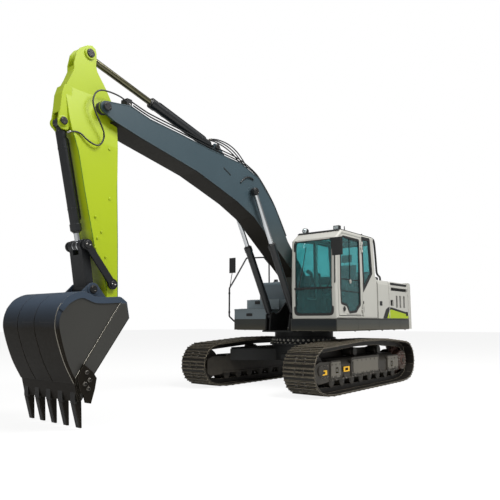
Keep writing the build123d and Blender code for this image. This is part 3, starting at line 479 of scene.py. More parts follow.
# how far the frame's outer plate and the wheels' faces stand from the middle of the track
OUTER_PLATE, WHEEL_FACE = 0.204, 0.192
ROLLER_X = [-1.33 + 0.366 * k for k in range(8)]
for side, tag in ((1, "left"), (-1, "right")):
    yc, out = side * GAUGE / 2, (0, side, 0)
    spots = [((x + dx, yc + side * 0.205, 0.256), out) for x in ROLLER_X for dx in (-0.06, 0.06)]
    spots += [((x, yc + side * WHEEL_FACE, z), out) for x in (1.43, 1.53, 1.63) for z in (0.31, 0.5)]
    spots += [((x0 + 0.05 + (x1 - x0 - 0.1) * k / n, yc + side * OUTER_PLATE, z), out)
              for x0, x1, z1, n in ((0.99, 1.372, 0.575, 2), (-0.57, 0.612, 0.598, 6), (-1.5, -0.94, 0.56, 3))
              for k in range(n + 1) for z in (0.31, z1 - 0.06)]
    bolts(f"frame_bolts_{tag}", "undercarriage", spots, 0.024, bolt_steel)
    spots = [((SPROCKET_X + r * math.cos(a), yc + side * d, WHEEL_Z + r * math.sin(a)), out)
             for r, d, n in ((0.135, 0.182, 12), (0.185, 0.178, 18))
             for a in [2 * math.pi * k / n for k in range(n)]]
    spots += [((IDLER_X + 0.055 * math.cos(a), yc + side * WHEEL_FACE, WHEEL_Z + 0.055 * math.sin(a)), out)
              for a in [math.pi / 4 + math.pi / 2 * k for k in range(4)]]
    bolts(f"drive_bolts_{tag}", "undercarriage", spots, 0.02, bolt_steel)
    # turned caps on the roller shafts, the idler shaft, and the drain plug of the final drive
    caps = bmesh.new()
    for x in ROLLER_X:
        lathed(caps, (x, yc + side * 0.2, 0.292), out, [(0, 0.034), (0.012, 0.034), (0.016, 0.028)], 14)
    lathed(caps, (IDLER_X, yc + side * WHEEL_FACE, WHEEL_Z), out, [(0, 0.085), (0.014, 0.085), (0.02, 0.07)])
    lathed(caps, (SPROCKET_X, yc + side * 0.196, WHEEL_Z), out, [(0, 0.05), (0.012, 0.05), (0.016, 0.04)])
    settle(f"shaft_caps_{tag}", caps, roller_enamel, "undercarriage", 0.002)
    # lashing eyes for transport: yellow plates with a slot, welded to the frame's side
    eyes = bmesh.new()
    for x, z, w, h in ((1.594, 0.395, 0.25, 0.08), (1.15, 0.412, 0.1, 0.1), (0.8, 0.41, 0.22, 0.09),
                       (-1.145, 0.39, 0.1, 0.11)):
        d = WHEEL_FACE if x > 1.4 else OUTER_PLATE
        y0, y1 = sorted((yc + side * d, yc + side * (d + 0.008)))
        for u0, u1, v0, v1 in ((-0.5, 0.5, -0.5, -0.25), (-0.5, 0.5, 0.25, 0.5), (-0.5, -0.25, -0.25, 0.25),
                               (0.25, 0.5, -0.25, 0.25)):
            bar(eyes, x + w * u0, x + w * u1, y0, y1, z + h * v0, z + h * v1)
    settle(f"lashing_eyes_{tag}", eyes, yellow_enamel, "undercarriage", 0.002)
    # folded cover plates over the recoil spring and the step pads on the frame's top
    covers = bmesh.new()
    y0, y1 = sorted((yc + side * OUTER_PLATE, yc + side * 0.212))
    for outline in (oblong(-0.5, 0.54, 0.3, 0.56), oblong(1.01, 1.35, 0.29, 0.555),
                    oblong(-1.48, -0.96, 0.29, 0.54)):
        extruded(covers, rounded_corners(outline, 0.03), y0, y1, along_y)
    settle(f"frame_covers_{tag}", covers, cover_enamel, "undercarriage", 0.003)
    # the inner web of the box frame stands higher than its outer plate, up to the carrier rollers
    web = bmesh.new()
    y0, y1 = sorted((yc - side * 0.16, yc - side * 0.148))
    extruded(web, [(-1.25, 0.56), (1.15, 0.56), (1.1, 0.735), (-1.2, 0.735)], y0, y1, along_y)
    settle(f"inner_web_{tag}", web, track_enamel, "undercarriage", 0.003)


# ---- lower frame and slewing ring ---------------------------------------------------------------
# The X-shaped lower frame is welded box steel, with a machined slewing ring on top that two circles
# of bolts hold. All is black enamel; the bolt heads are bare where the spanner rubbed them.
black_enamel = sprayed_paint("blue_black_enamel", "#101315", "#0B0D0E", 0.5, edge="#3C4044", dust=0.1)
dress(black_enamel, "lower_frame", "tow_bracket", "slew_ring")
RING_BOLTS, FLANGE_R, RIM_R, NECK_R = 40, 0.675, 0.65, 0.64
spots = [((FLANGE_R * math.cos(a), FLANGE_R * math.sin(a), 0.822), (0, 0, 1))
         for a in [2 * math.pi * k / RING_BOLTS for k in range(RING_BOLTS)]]
spots += [((RIM_R * math.cos(a), RIM_R * math.sin(a), 0.885), (math.cos(a), math.sin(a), 0))
          for a in [2 * math.pi * (k + 0.5) / RING_BOLTS for k in range(RING_BOLTS)]]
bright_bolt_steel = bare_steel("zinc_flake_bolt_coat", "#A9A69E", "#8A877F", "#E2DFD8", 0.5, 0.02, 0.2)
bolts("slewing_ring_bolts", "undercarriage", spots, 0.03, bright_bolt_steel)

seams = bmesh.new()
weld_places = []
for sx in (-1, 1):
    for sy in (-1, 1):
        weld_places.append(((sx * 1.18, sy * 1.002), (sx * 0.56, sy * 0.33)))
        weld_places.append(((sx * 0.76, sy * 1.002), (sx * 0.33, sy * 0.56)))
for (x0, y0), (x1, y1) in weld_places:
    way = Vector((x1 - x0, y1 - y0, 0))
    lathed(seams, (x0, y0, 0.7), way, [(0, 0.007), (way.length, 0.007)], 8)
for a in range(0, 360, 10):
    p, q = (Vector((NECK_R * math.cos(math.radians(b)), NECK_R * math.sin(math.radians(b)), 0.79))
            for b in (a, a + 10))
    lathed(seams, p, q - p, [(0, 0.007), ((q - p).length, 0.007)], 8)
settle("lower_frame_seams", seams, black_enamel, "undercarriage")


# ---- deck and side beams ------------------------------------------------------------------------
# The turning deck is a welded frame of thick plate, black and mostly hidden. Folded side beams close
# it off at each side; their enamel is slate at the top and turns brown where road dirt is baked on.
deck_enamel = sprayed_paint("black_deck_enamel", "#131414", "#0D0E0E", 0.5, edge="#45433F", dust=0.1)
beam_enamel = sprayed_paint("slate_to_brown_enamel", "#3B3D3A", "#343633", 0.42, edge="#74726A",
                            low="#4A473C", levels=(1.1, 1.24))
dress(deck_enamel, "main_frame", "engine_block")
dress(beam_enamel, "skirt_left", "skirt_right")

edging = bmesh.new()
for side, x1 in ((1, 1.02), (-1, 0.64)):
    y0, y1 = sorted((side * 1.3485, side * 1.351))
    bar(edging, -2.3, x1 - 0.01, y0, y1, 1.286, 1.296)
    for x in (-1.8, -0.72, 0.2):
        bar(edging, x, x + 0.004, y0, y1, 1.095, 1.286)
bar(edging, 1.0185, 1.0215, 0.38, 1.33, 1.286, 1.296)
settle("beam_top_seams", edging, deck_enamel, "upperstructure")
nose_enamel = sprayed_paint("night_blue_enamel", "#10181C", "#0C1215", 0.42, edge="#4A5054", low="#26261F",
                            levels=(1.12, 1.2))
nose = bmesh.new()
extruded(nose, rounded_corners(oblong(0.372, 1.335, 1.092, 1.282), 0.012),
         1.0203, 1.0222, along_x)
settle("front_beam_plate", nose, nose_enamel, "upperstructure", 0.0005)
bolts("beam_bolts", "upperstructure",
      [((x, side * 1.33, 1.077), (0, 0, -1)) for side in (1, -1) for x in (-2.1, -1.5, -0.9, -0.3, 0.3)]
      + [((1.005, y, 1.077), (0, 0, -1)) for y in (0.5, 0.85, 1.2)], 0.024, bolt_steel)


# ---- counterweight, engine housing and doors ----------------------------------------------------
# A cast counterweight closes the tail. The housing and its doors are pressed steel sheet, sprayed a
# pale warm grey; louvres are black, and the doors hang on knuckles and close with paddle latches.
def moulded_plastic(name, colour, roughness=0.5, grain=0.004):
    """Black or grey injection-moulded plastic or rubber with a fine leather grain."""
    material, tree, shader = blank_material(name)
    place = add(tree, "ShaderNodeTexCoord").outputs["Object"]
    cells = add(tree, "ShaderNodeTexVoronoi", values={"Scale": 1 / grain}, links={"Vector": place})
    fade = add(tree, "ShaderNodeTexNoise", values={"Scale": 3.0, "Detail": 3.0}, links={"Vector": place})
    base = linear(colour)
    tone = add(tree, "ShaderNodeMix", {"data_type": "RGBA"},
               {6: base, 7: tuple(c * 1.5 + 0.004 for c in base[:3]) + (1.0,)}, {0: fade.outputs["Fac"]})
    tree.links.new(tone.outputs[2], shader.inputs["Base Color"])
    grained = add(tree, "ShaderNodeBump", values={"Strength": 0.15, "Distance": 0.001},
                  links={"Height": cells.outputs["Distance"]})
    tree.links.new(grained.outputs[0], shader.inputs["Normal"])
    shader.inputs["Roughness"].default_value = roughness
    return material


# fresh enamel on smooth sheet, half glossy, and moulded plastic, matt with a leather grain
pale_enamel = sprayed_paint("pale_warm_grey_enamel", "#B2B1AA", "#A9A8A1", 0.36, edge="#8E8C86", rub=0.4,
                            gloss=0.4)
black_plastic = moulded_plastic("black_moulded_plastic", "#0B0C0D", 0.55)
dress(pale_enamel, "counterweight", "engine_housing", "side_door_front", "side_door_rear", "pump_door")

# louvre tree: a blade across each point, as long as the slot and tipped outwards
louvre_tree, given = geometry_tree("louvres", "Length", "Depth", "Gauge", "Tip")
size = add(louvre_tree, "ShaderNodeCombineXYZ",
           links={"X": given.outputs["Length"], "Y": given.outputs["Depth"], "Z": given.outputs["Gauge"]})
blade = add(louvre_tree, "GeometryNodeMeshCube", links={"Size": size.outputs[0]})
tip = add(louvre_tree, "ShaderNodeCombineXYZ", links={"X": given.outputs["Tip"]})
tipped = add(louvre_tree, "GeometryNodeTransform",
             links={"Geometry": blade.outputs["Mesh"], "Rotation": tip.outputs[0]})
set_blades = add(louvre_tree, "GeometryNodeInstanceOnPoints",
                 links={"Points": given.outputs["Geometry"], "Instance": tipped.outputs[0]})
close_tree(louvre_tree, given, set_blades.outputs[0])


def louvres(name, body, spots, length, depth, tip):
    """Black blades of one length at the spots, along X."""
    grown(name, louvre_tree, body, point_mesh(name, spots), black_plastic,
          Length=length, Depth=depth, Gauge=0.003, Tip=tip)


VENT_PANEL_LOW = 1.98    # slots above this height have a panel round them, and need no frame
for body, side, slots in (
        ("side_door_rear", 1, [(-1.795, 2.055, 0.85, 0.026), (-1.795, 1.942, 0.85, 0.05),
                               (-1.4, 1.645, 0.12, 0.105)]
         + [(x, 1.68, 0.062, 0.24) for x in (-1.66, -1.85, -2.06)]),
        ("pump_door", -1, [(-1.96, 1.7 + 0.06 * k, 0.38, 0.026) for k in range(4)])):
    # painted shade: a black trough behind each slot, so that the louvres stand before a dark ground
    painted_shade_troughs, frames, lip = bmesh.new(), bmesh.new(), 0.008
    for x, z, w, h in slots:
        plate(painted_shade_troughs, oblong(x - w / 2 - 0.012, x + w / 2 + 0.012, z - h / 2 - 0.012, z + h / 2 + 0.012),
              side, 1.29, 1.312)
        if z < VENT_PANEL_LOW:
            x0, x1, z0, z1 = -w / 2, w / 2, -h / 2, h / 2
            for a0, a1, b0, b1 in ((x0 - lip, x1 + lip, z1, z1 + lip), (x0 - lip, x1 + lip, z0 - lip, z0),
                                   (x0 - lip, x0, z0, z1), (x1, x1 + lip, z0, z1)):
                plate(frames, oblong(x + a0, x + a1, z + b0, z + b1), side, 1.344, 1.3475)
    settle(f"{body}_troughs", painted_shade_troughs, black_plastic, body, 0.003)
    settle(f"{body}_slot_frames", frames, black_plastic, body)
    for i, (x, z, w, h) in enumerate(slots):
        n = max(1, round(h / 0.022))
        spots = [(x, side * 1.325, z - h / 2 + h * (k + 0.5) / n) for k in range(n)]
        louvres(f"{body}_louvres_{i}", body, spots, w, 0.018, -side * 0.6)

# the top row of louvres stands in a thin panel on the door's outer skin
vent = bmesh.new()
plate(vent, rounded_corners(oblong(-2.225, -1.34, 2.03, 2.078), 0.008), 1, 1.3455, 1.3475)
settle("vent_panel", vent, black_plastic, "side_door_rear")
louvres("vent_panel_louvres", "side_door_rear", [(-1.7825, 1.3482, 2.04 + 0.0095 * k) for k in range(4)],
        0.86, 0.004, -0.6)

# paddle latches and their round locks, one pair per door
for body, side, x, z in (("side_door_front", 1, -0.85, 1.62), ("side_door_rear", 1, -2.2, 1.42),
                         ("pump_door", -1, -1.75, 1.5)):
    latch = bmesh.new()
    plate(latch, rounded_corners(oblong(x - 0.06, x + 0.06, z - 0.045, z + 0.045), 0.02), side, 1.345, 1.35)
    plate(latch, rounded_corners(oblong(x - 0.045, x + 0.03, z - 0.03, z + 0.03), 0.012),
          side, 1.3495, 1.3518)
    lathed(latch, (x + 0.045, side * 1.349, z), (0, side, 0), [(0, 0.011), (0.003, 0.011)], 16)
    settle(f"{body}_latch", latch, black_plastic, body, 0.001)

# a bare wedge of lime enamel with a black border, sprayed low on each rear side: the same bright
# yellow-green as the arm, half glossy
lime_enamel = sprayed_paint("lime_enamel", "#9EB111", "#97AA0F", 0.36, edge="#7E8F1B", rub=0.35, gloss=0.4)
WEDGE_BORDER = [(-0.93, 1.312), (-1.083, 1.503), (-1.202, 1.551), (-1.399, 1.547), (-2.285, 1.442),
                (-2.285, 1.312)]
WEDGE = [(-1.132, 1.318), (-1.262, 1.485), (-1.362, 1.503), (-2.28, 1.4), (-2.28, 1.318)]


def cut_between(outline, x0, x1):
    """The part of a level-bottomed outline that lies between two places along the machine."""
    for limit, keep in ((x0, 1), (x1, -1)):
        out = []
        for (ax, az), (bx, bz) in zip(outline, outline[1:] + outline[:1]):
            if (ax - limit) * keep >= 0:
                out.append((ax, az))
            if (ax - limit) * (bx - limit) < 0:
                out.append((limit, az + (bz - az) * (limit - ax) / (bx - ax)))
        outline = out
    return outline


for body, side, x0, x1 in (("side_door_front", 1, -1.255, -0.73), ("side_door_rear", 1, -2.285, -1.285),
                           ("pump_door", -1, -2.285, -1.665)):
    for name, outline, d, finish in ((f"{body}_wedge_border", WEDGE_BORDER, 1.3462, black_plastic),
                                     (f"{body}_wedge", WEDGE, 1.347, lime_enamel)):
        wedge = bmesh.new()
        plate(wedge, cut_between(outline, x0, x1), side, 1.3455, d)
        settle(name, wedge, finish, body)

# counterweight: plugs over the lifting eyes, tail lamps and the fixing bolts' caps
tail_fittings = bmesh.new()
for side in (1, -1):
    lathed(tail_fittings, (-2.52, side * 0.62, 2.1), (0, 0, 1), [(0, 0.056), (0.014, 0.056), (0.018, 0.04)])
    lathed(tail_fittings, (-2.72, side * 0.3, 1.18), (-0.97, 0, -0.2),
           [(0, 0.05), (0.03, 0.05), (0.035, 0.04)], 16)
settle("counterweight_plugs", tail_fittings, black_plastic, "upperstructure", 0.002)
# polycarbonate with moulded ribs: a deep red, glossy and finely banded
lens, lens_tree, lens_shader = blank_material(
    "red_polycarbonate_lens", {"Base Color": linear("#8E1512"), "Roughness": 0.15, "IOR": 1.58})
ribs = add(lens_tree, "ShaderNodeTexWave", {"bands_direction": "Z"}, {"Scale": 60.0},
           {"Vector": add(lens_tree, "ShaderNodeTexCoord").outputs["Object"]})
lens_tree.links.new(add(lens_tree, "ShaderNodeBump", values={"Strength": 0.3, "Distance": 0.002},
                        links={"Height": ribs.outputs["Fac"]}).outputs[0], lens_shader.inputs["Normal"])
TAIL_RADIUS = 2.79
for side, tag in ((1, "left"), (-1, "right")):
    a0, a1 = (math.asin(side * y / TAIL_RADIUS) for y in (0.98, 1.12))
    lamp_shape, rim = bmesh.new(), bmesh.new()
    for made, inner, outer, grow, levels in (
            (lamp_shape, TAIL_RADIUS - 0.02, TAIL_RADIUS - 0.001, 0.0, ((1.66, 1.75),)),
            (rim, TAIL_RADIUS - 0.022, TAIL_RADIUS - 0.0005, 0.006,
             ((1.645, 1.645 + 0.012), (1.765 - 0.012, 1.765)))):
        steps = [a0 - side * grow + (a1 - a0 + 2 * side * grow) * k / 6 for k in range(7)]
        outline = [(-outer * math.cos(a), outer * math.sin(a)) for a in steps]
        outline += [(-inner * math.cos(a), inner * math.sin(a)) for a in reversed(steps)]
        for low, high in levels:
            extruded(made, outline, low, high, along_z)
    settle(f"tail_lamp_{tag}", lamp_shape, lens, "upperstructure")
    settle(f"tail_lamp_rim_{tag}", rim, black_plastic, "upperstructure", 0.002)


# ---- hood, exhaust and the walkway on top -------------------------------------------------------
# The engine hood is a domed steel pressing with seven slots backed by woven wire; the exhaust is a
# bent tube, blued by heat at its end. Punched tread plates bolted on the housing give a foothold.
dress(deck_enamel, "engine_hood")
heated_steel = bare_steel("heat_blued_steel", "#2A2B30", "#3A342E", "#6F6B66", 0.4, 0.05)
dress(heated_steel, "exhaust_pipe")

wire_tree, given = geometry_tree("woven_wire", "Gauge")
wires = add(wire_tree, "GeometryNodeMeshToCurve", links={"Mesh": given.outputs["Geometry"]})
round_wire = add(wire_tree, "GeometryNodeCurvePrimitiveCircle", values={"Resolution": 4},
                 links={"Radius": given.outputs["Gauge"]})
woven = add(wire_tree, "GeometryNodeCurveToMesh",
            links={"Curve": wires.outputs[0], "Profile Curve": round_wire.outputs[0]})
close_tree(wire_tree, given, woven.outputs[0])
# a wire every 7 or 8 mm, coarser than the real 3 mm, so that the mesh shows
ROWS, COLUMNS, X0, X1, Y0, Y1 = 58, 90, -2.15, -1.44, -0.57, -0.17
grid_points = []
for k in range(ROWS):
    y = Y0 + 0.4 * k / (ROWS - 1)
    grid_points += [(X0, y, 2.255), (X1, y, 2.255)]
for k in range(COLUMNS):
    x = X0 + 0.71 * k / (COLUMNS - 1)
    grid_points += [(x, Y0, 2.2565), (x, Y1, 2.2565)]
grid = point_mesh("hood_wire", grid_points, [(2 * k, 2 * k + 1) for k in range(len(grid_points) // 2)])
# galvanised wire: dull grey, so that the mesh reads darker than the hood
wire_steel = bare_steel("galvanised_wire", "#3B3C3C", "#2B2C2C", "#8C8C88", 0.5, 0.03)
grown("hood_wire", wire_tree, "engine_hood", grid, wire_steel, Gauge=0.0012)
hood_grip = bmesh.new()
bar(hood_grip, -2.19, -2.17, -0.2, 0.1, 2.2905, 2.312)
for y in (-0.2, 0.08):
    bar(hood_grip, -2.19, -2.17, y, y + 0.02, 2.286, 2.3)
settle("hood_grip", hood_grip, black_plastic, "engine_hood", 0.003)

# tread tree: rows of raised punched cups on the walkway plates
tread_tree, given = geometry_tree("tread_cups", "Radius", "Rise")
cup = add(tread_tree, "GeometryNodeMeshCone", values={"Vertices": 8},
          links={"Radius Bottom": given.outputs["Radius"], "Depth": given.outputs["Rise"]})
half_radius = add(tread_tree, "ShaderNodeMath", {"operation": "MULTIPLY"}, {1: 0.6},
                  {0: given.outputs["Radius"]})
tread_tree.links.new(half_radius.outputs[0], cup.inputs["Radius Top"])
set_cups = add(tread_tree, "GeometryNodeInstanceOnPoints",
               links={"Points": given.outputs["Geometry"], "Instance": cup.outputs["Mesh"]})
close_tree(tread_tree, given, set_cups.outputs[0])
# enamel that boots have rubbed off every raised edge
tread_steel = sprayed_paint("black_tread_enamel", "#1E1F20", "#151616", 0.5, edge="#8A8A86", rub=0.9)
plates, cups = bmesh.new(), []
CUP_PITCH, CUP_RADIUS, TREAD_RISE = 0.045, 0.011, 0.004
for x0, x1, y0, y1, z in ((-1.36, -1.31, 0.5, 1.2, 2.1), (-2.2, -1.4, 0.76, 1.12, 2.1),
                          (-2.2, -1.4, -1.14, -0.86, 2.1), (-0.18, 0.18, -1.3, -0.55, 1.72)):
    outline = rounded_corners(oblong(x0, x1, y0, y1), 0.02)
    extruded(plates, outline, z, z + TREAD_RISE, along_z)
    nx, ny = max(1, int((x1 - x0) / CUP_PITCH)), max(1, int((y1 - y0) / CUP_PITCH))
    cups += [(x0 + (x1 - x0) * (i + 0.5) / nx, y0 + (y1 - y0) * (j + 0.5) / ny, z + TREAD_RISE)
             for i in range(nx) for j in range(ny)]
settle("tread_plates", plates, tread_steel, "upperstructure", 0.001)
grown("tread_cups", tread_tree, "upperstructure", point_mesh("tread_cups", cups), tread_steel,
      Radius=CUP_RADIUS, Rise=TREAD_RISE)


# ---- right side: tanks, tool box, handrail and mirrors -------------------------------------------
# The oil and fuel tanks are welded sheet, grey; the tool box before them is a step with a lid on
# hinge knuckles. The handrail is one bent tube in clamps, and the mirrors sit in moulded shells.
tank_enamel = sprayed_paint("blue_grey_enamel", "#59646A", "#50595E", 0.4, edge="#8A8C8A")
silver_enamel = sprayed_paint("light_blue_grey_enamel", "#79858A", "#6F7A7F", 0.4, edge="#B8B8B4")
dress(tank_enamel, "hydraulic_tank", "fuel_tank")
dress(silver_enamel, "tool_box", "tool_box_lid")
dress(black_plastic, "handrail_right", "mirrors")

tank_fittings = bmesh.new()
for x, y, z, r in ((-1.296, -0.9, 2.125, 0.055), (-0.6, -1.13, 2.168, 0.05)):
    lathed(tank_fittings, (x, y, z), (0, 0, 1), [(0, r), (0.03, r), (0.036, r * 0.8)], 10)
    bar(tank_fittings, x - 0.012, x + 0.012, y - r * 0.9, y + r * 0.9, z + 0.034, z + 0.052)
settle("tank_caps", tank_fittings, black_plastic, "upperstructure", 0.002)
sight = bmesh.new()
for x, y, z, w, h in ((-1.1, -1.3465, 1.62, 0.03, 0.16), (-0.35, -1.3465, 1.7, 0.03, 0.22)):
    bar(sight, x - w / 2, x + w / 2, y - 0.002, y + 0.002, z - h / 2, z + h / 2)
settle("tank_level_gauges", sight, black_plastic, "upperstructure", 0.001)
lid_fittings = bmesh.new()
extruded(lid_fittings, rounded_corners(oblong(0.28, 0.61, -1.25, -0.58), 0.02),
         1.515, 1.519, along_z)
settle("lid_tread", lid_fittings, tread_steel, "tool_box_lid", 0.001)
lid_cups = [(0.3 + CUP_PITCH * i, -1.22 + CUP_PITCH * j, 1.519) for i in range(7) for j in range(14)]
grown("lid_cups", tread_tree, "tool_box_lid", point_mesh("lid_cups", lid_cups), tread_steel,
      Radius=CUP_RADIUS, Rise=TREAD_RISE)
box_latches = bmesh.new()
for y0, y1, z0, z1, x in ((-1.12, -0.98, 1.625, 1.695, 0.2125), (-1.02, -0.86, 1.36, 1.42, 0.6405)):
    extruded(box_latches, rounded_corners(oblong(y0, y1, z0, z1), 0.012), x, x + 0.0035, along_x)
settle("tool_box_latches", box_latches, black_plastic, "upperstructure", 0.001)

clamps = bmesh.new()
for p, way in (((0.75, -1.4, 1.45), (0, 0, 1)), ((0.75, -1.4, 1.85), (0, 0, 1)),
               ((0.0, -1.4, 2.688), (1, 0, 0.03))):
    lathed(clamps, Vector(p) - Vector(way) * 0.02, way, [(0, 0.0215), (0.04, 0.0215)], 16)
settle("handrail_clamps", clamps, black_enamel, "upperstructure", 0.001)
# silvered glass: a near-perfect mirror with a faint smear
silvered, silvered_tree, silvered_shader = blank_material(
    "silvered_mirror_glass", {"Base Color": linear("#D9DEDF"), "Metallic": 1.0})
smear = add(silvered_tree, "ShaderNodeTexNoise", values={"Scale": 6.0},
            links={"Vector": add(silvered_tree, "ShaderNodeTexCoord").outputs["Object"]})
silvered_tree.links.new(add(silvered_tree, "ShaderNodeMapRange", values={3: 0.02, 4: 0.09},
                            links={0: smear.outputs["Fac"]}).outputs[0], silvered_shader.inputs["Roughness"])
faces = bmesh.new()
for x, y0, y1, z0, z1 in ((0.6135, -1.488, -1.352, 2.315, 2.615), (1.1375, 1.372, 1.548, 2.435, 2.725)):
    extruded(faces, rounded_corners(oblong(y0, y1, z0, z1), 0.03), x, x + 0.003, along_x)
settle("mirror_glasses", faces, silvered, "upperstructure")
shells = bmesh.new()
for x, y0, y1, z0, z1 in ((0.64, -1.492, -1.348, 2.308, 2.622), (1.172, 1.368, 1.552, 2.428, 2.732)):
    extruded(shells, rounded_corners(oblong(y0, y1, z0, z1), 0.04), x - 0.004, x + 0.012, along_x)
settle("mirror_shells", shells, black_plastic, "upperstructure", 0.006)


# ---- cab ----------------------------------------------------------------------------------------
# The cab is a welded shell of pressed pillars and sheet with a hinged door, sprayed like the
# housing. Green-tinted laminated glass is bonded in black rubber; lamps stand on the roof.
def front_x(z):
    """Front face of the cab at a height."""
    places = ((1.301, 1.0), (1.9, 1.02), (2.78, 0.985), (2.95, 0.76))
    for (z0, x0), (z1, x1) in zip(places, places[1:]):
        if z <= z1:
            return x0 + (x1 - x0) * (z - z0) / (z1 - z0)
    return 0.76


def on_front(y, z, d):
    """A point that stands d off the cab's front face, which leans."""
    return (front_x(z) + d, y, z)


def drawn_in(outline, d):
    """The outline moved inwards by d, for outlines that run anticlockwise."""
    out = []
    for i, corner in enumerate(outline):
        a = (Vector(corner) - Vector(outline[i - 1])).normalized()
        b = (Vector(outline[(i + 1) % len(outline)]) - Vector(corner)).normalized()
        na, nb = Vector((-a.y, a.x)), Vector((-b.y, b.x))
        mid = (na + nb).normalized()
        out.append(tuple(Vector(corner) + mid * d / max(0.35, mid.dot(na))))
    return out


def anticlockwise(outline):
    """The same outline, turned round if it runs the other way."""
    area = sum(a[0] * b[1] - b[0] * a[1] for a, b in zip(outline, outline[1:] + outline[:1]))
    return outline if area > 0 else outline[::-1]


def framed(shape, outline, width, radius, low, high, place):
    """Adds a flat frame inside an outline, with rounded corners, from depth low to high."""
    outline = anticlockwise(outline)
    outer = rounded_corners(outline, radius)
    inner = rounded_corners(drawn_in(outline, width), max(radius - width * 0.5, 0.012))
    rings = [[shape.verts.new(place(u, v, d)) for u, v in ring] for ring, d in
             ((outer, low), (outer, high), (inner, high), (inner, low))]
    for a, b in zip(rings, rings[1:] + rings[:1]):
        for k in range(len(a)):
            j = (k + 1) % len(a)
            shape.faces.new((a[k], a[j], b[j], b[k]))


dress(pale_enamel, "cab_shell", "cab_door")
dress(black_plastic, "cab_lamps", "seat_base")
# two sheets of glass on a tinted film: clear, blue-green, and sharp in what it mirrors
glass, glass_tree, glass_shader = blank_material(
    "green_tinted_laminated_glass", {"Roughness": 0.02, "IOR": 1.5, "Transmission Weight": 0.96})
haze = add(glass_tree, "ShaderNodeTexNoise", values={"Scale": 2.2, "Detail": 2.0},
           links={"Vector": add(glass_tree, "ShaderNodeTexCoord").outputs["Object"]})
film = add(glass_tree, "ShaderNodeMix", {"data_type": "RGBA"}, {6: linear("#70BEC2"), 7: linear("#86CBCB")},
           {0: haze.outputs["Fac"]})
glass_tree.links.new(film.outputs[2], glass_shader.inputs["Base Color"])
dress(glass, "cab_glass", "door_glass", "roof_hatch")
seal_rubber = moulded_plastic("black_seal_rubber", "#0D0E0F", 0.6, 0.006)

seals = bmesh.new()
framed(seals, oblong(0.432, 1.285, 1.355, 2.79), 0.045, 0.1, -0.03, 0.003, on_front)
extruded(seals, oblong(0.45, 1.265, 1.843, 1.877), -0.03, 0.003, on_front)
WINDOWS = {"rear_left": [(-0.04, 2.9), (-0.39, 2.905), (-0.47, 2.21), (-0.25, 2.0), (-0.06, 1.83)],
           "door": [(0.85, 1.57), (0.868, 1.9), (0.84, 2.74), (0.735, 2.83), (0.075, 2.83), (0.075, 1.56),
                    (0.17, 1.5), (0.25, 1.425), (0.54, 1.405), (0.64, 1.54)],
           "right_front": [(0.88, 1.7), (0.88, 2.8), (0.16, 2.85), (0.16, 1.7)],
           "right_rear": [(0.09, 1.7), (0.09, 2.85), (-0.45, 2.85), (-0.5, 2.2), (-0.3, 1.9)]}
framed(seals, drawn_in(anticlockwise(WINDOWS["rear_left"]), -0.014), 0.062, 0.035, 1.318, 1.3465, along_y)
for name in ("right_front", "right_rear"):
    framed(seals, drawn_in(anticlockwise(WINDOWS[name]), -0.012), 0.04, 0.045, 0.3705, 0.398, along_y)
framed(seals, oblong(0.482 - 0.012, 1.235 + 0.012, 2.228, 2.832), 0.035, 0.05, -0.006, 0.03,
       lambda y, z, d: (-0.64 + (z - 2.16) * 0.082 + d, y, z))
settle("window_seals", seals, seal_rubber, "upperstructure", 0.002)
door_trim = bmesh.new()
framed(door_trim, drawn_in(anticlockwise(WINDOWS["door"]), -0.01), 0.042, 0.04, 1.325, 1.3495, along_y)
bar(door_trim, 0.085, 0.85, 1.331, 1.3435, 2.02, 2.034)
bar(door_trim, 0.085, 0.85, 1.331, 1.3435, 1.8, 1.812)
bar(door_trim, 0.462, 0.476, 1.331, 1.3435, 2.03, 2.81)
settle("door_trim", door_trim, seal_rubber, "cab_door", 0.002)
window_lock = bmesh.new()
lathed(window_lock, (0.465, 1.336, 1.993), (0, 1, 0), [(0, 0.04), (0.012, 0.04), (0.016, 0.03)], 16)
settle("door_window_lock", window_lock, bright_bolt_steel, "cab_door", 0.001)
pull = bmesh.new()
bar(pull, -0.047, -0.032, 1.3455, 1.362, 1.43, 1.64)
settle("cab_rear_grip", pull, seal_rubber, "upperstructure", 0.003)

# door: recessed round lock, pull handle, hinge bolts and the seam of its pressed skin
handle = bmesh.new()
lathed(handle, (0.745, 1.358, 1.48), (0, 1, 0), [(0, 0.046), (0.004, 0.046), (0.0055, 0.03)])
lathed(handle, (0.745, 1.3635, 1.48), (0, 1, 0), [(0, 0.012), (0.003, 0.012)], 12)
framed(handle, oblong(0.1, 0.64, 1.372, 1.39), 0.004, 0.004, 1.3465, 1.3485, along_y)
settle("door_lock", handle, black_plastic, "cab_door", 0.001)
bolts("door_hinge_bolts", "cab_door", [((x, 1.361, z + dz), (0, 1, 0)) for x in (0.026, 0.042)
                                       for z in (1.48, 2.7) for dz in (-0.025, 0.025)], 0.012, bolt_steel)


def bent_line(name, points):
    """A smooth curve bent between control points."""
    line = bpy.data.curves.new(name, "CURVE")
    line.dimensions = "3D"
    run = line.splines.new("NURBS")
    run.points.add(len(points) - 1)
    for spot, point in zip(run.points, points):
        spot.co = (*point, 1.0)
    run.order_u = 3
    run.use_endpoint_u = True
    line.resolution_u = 8
    return line


def piped(name, points, radius, finish, body, sides=4):
    """A tube along a bent line."""
    line = bent_line(name, points)
    line.bevel_depth, line.bevel_resolution, line.use_fill_caps = radius, sides, True
    line.materials.append(finish)
    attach(placed(name, line), body)


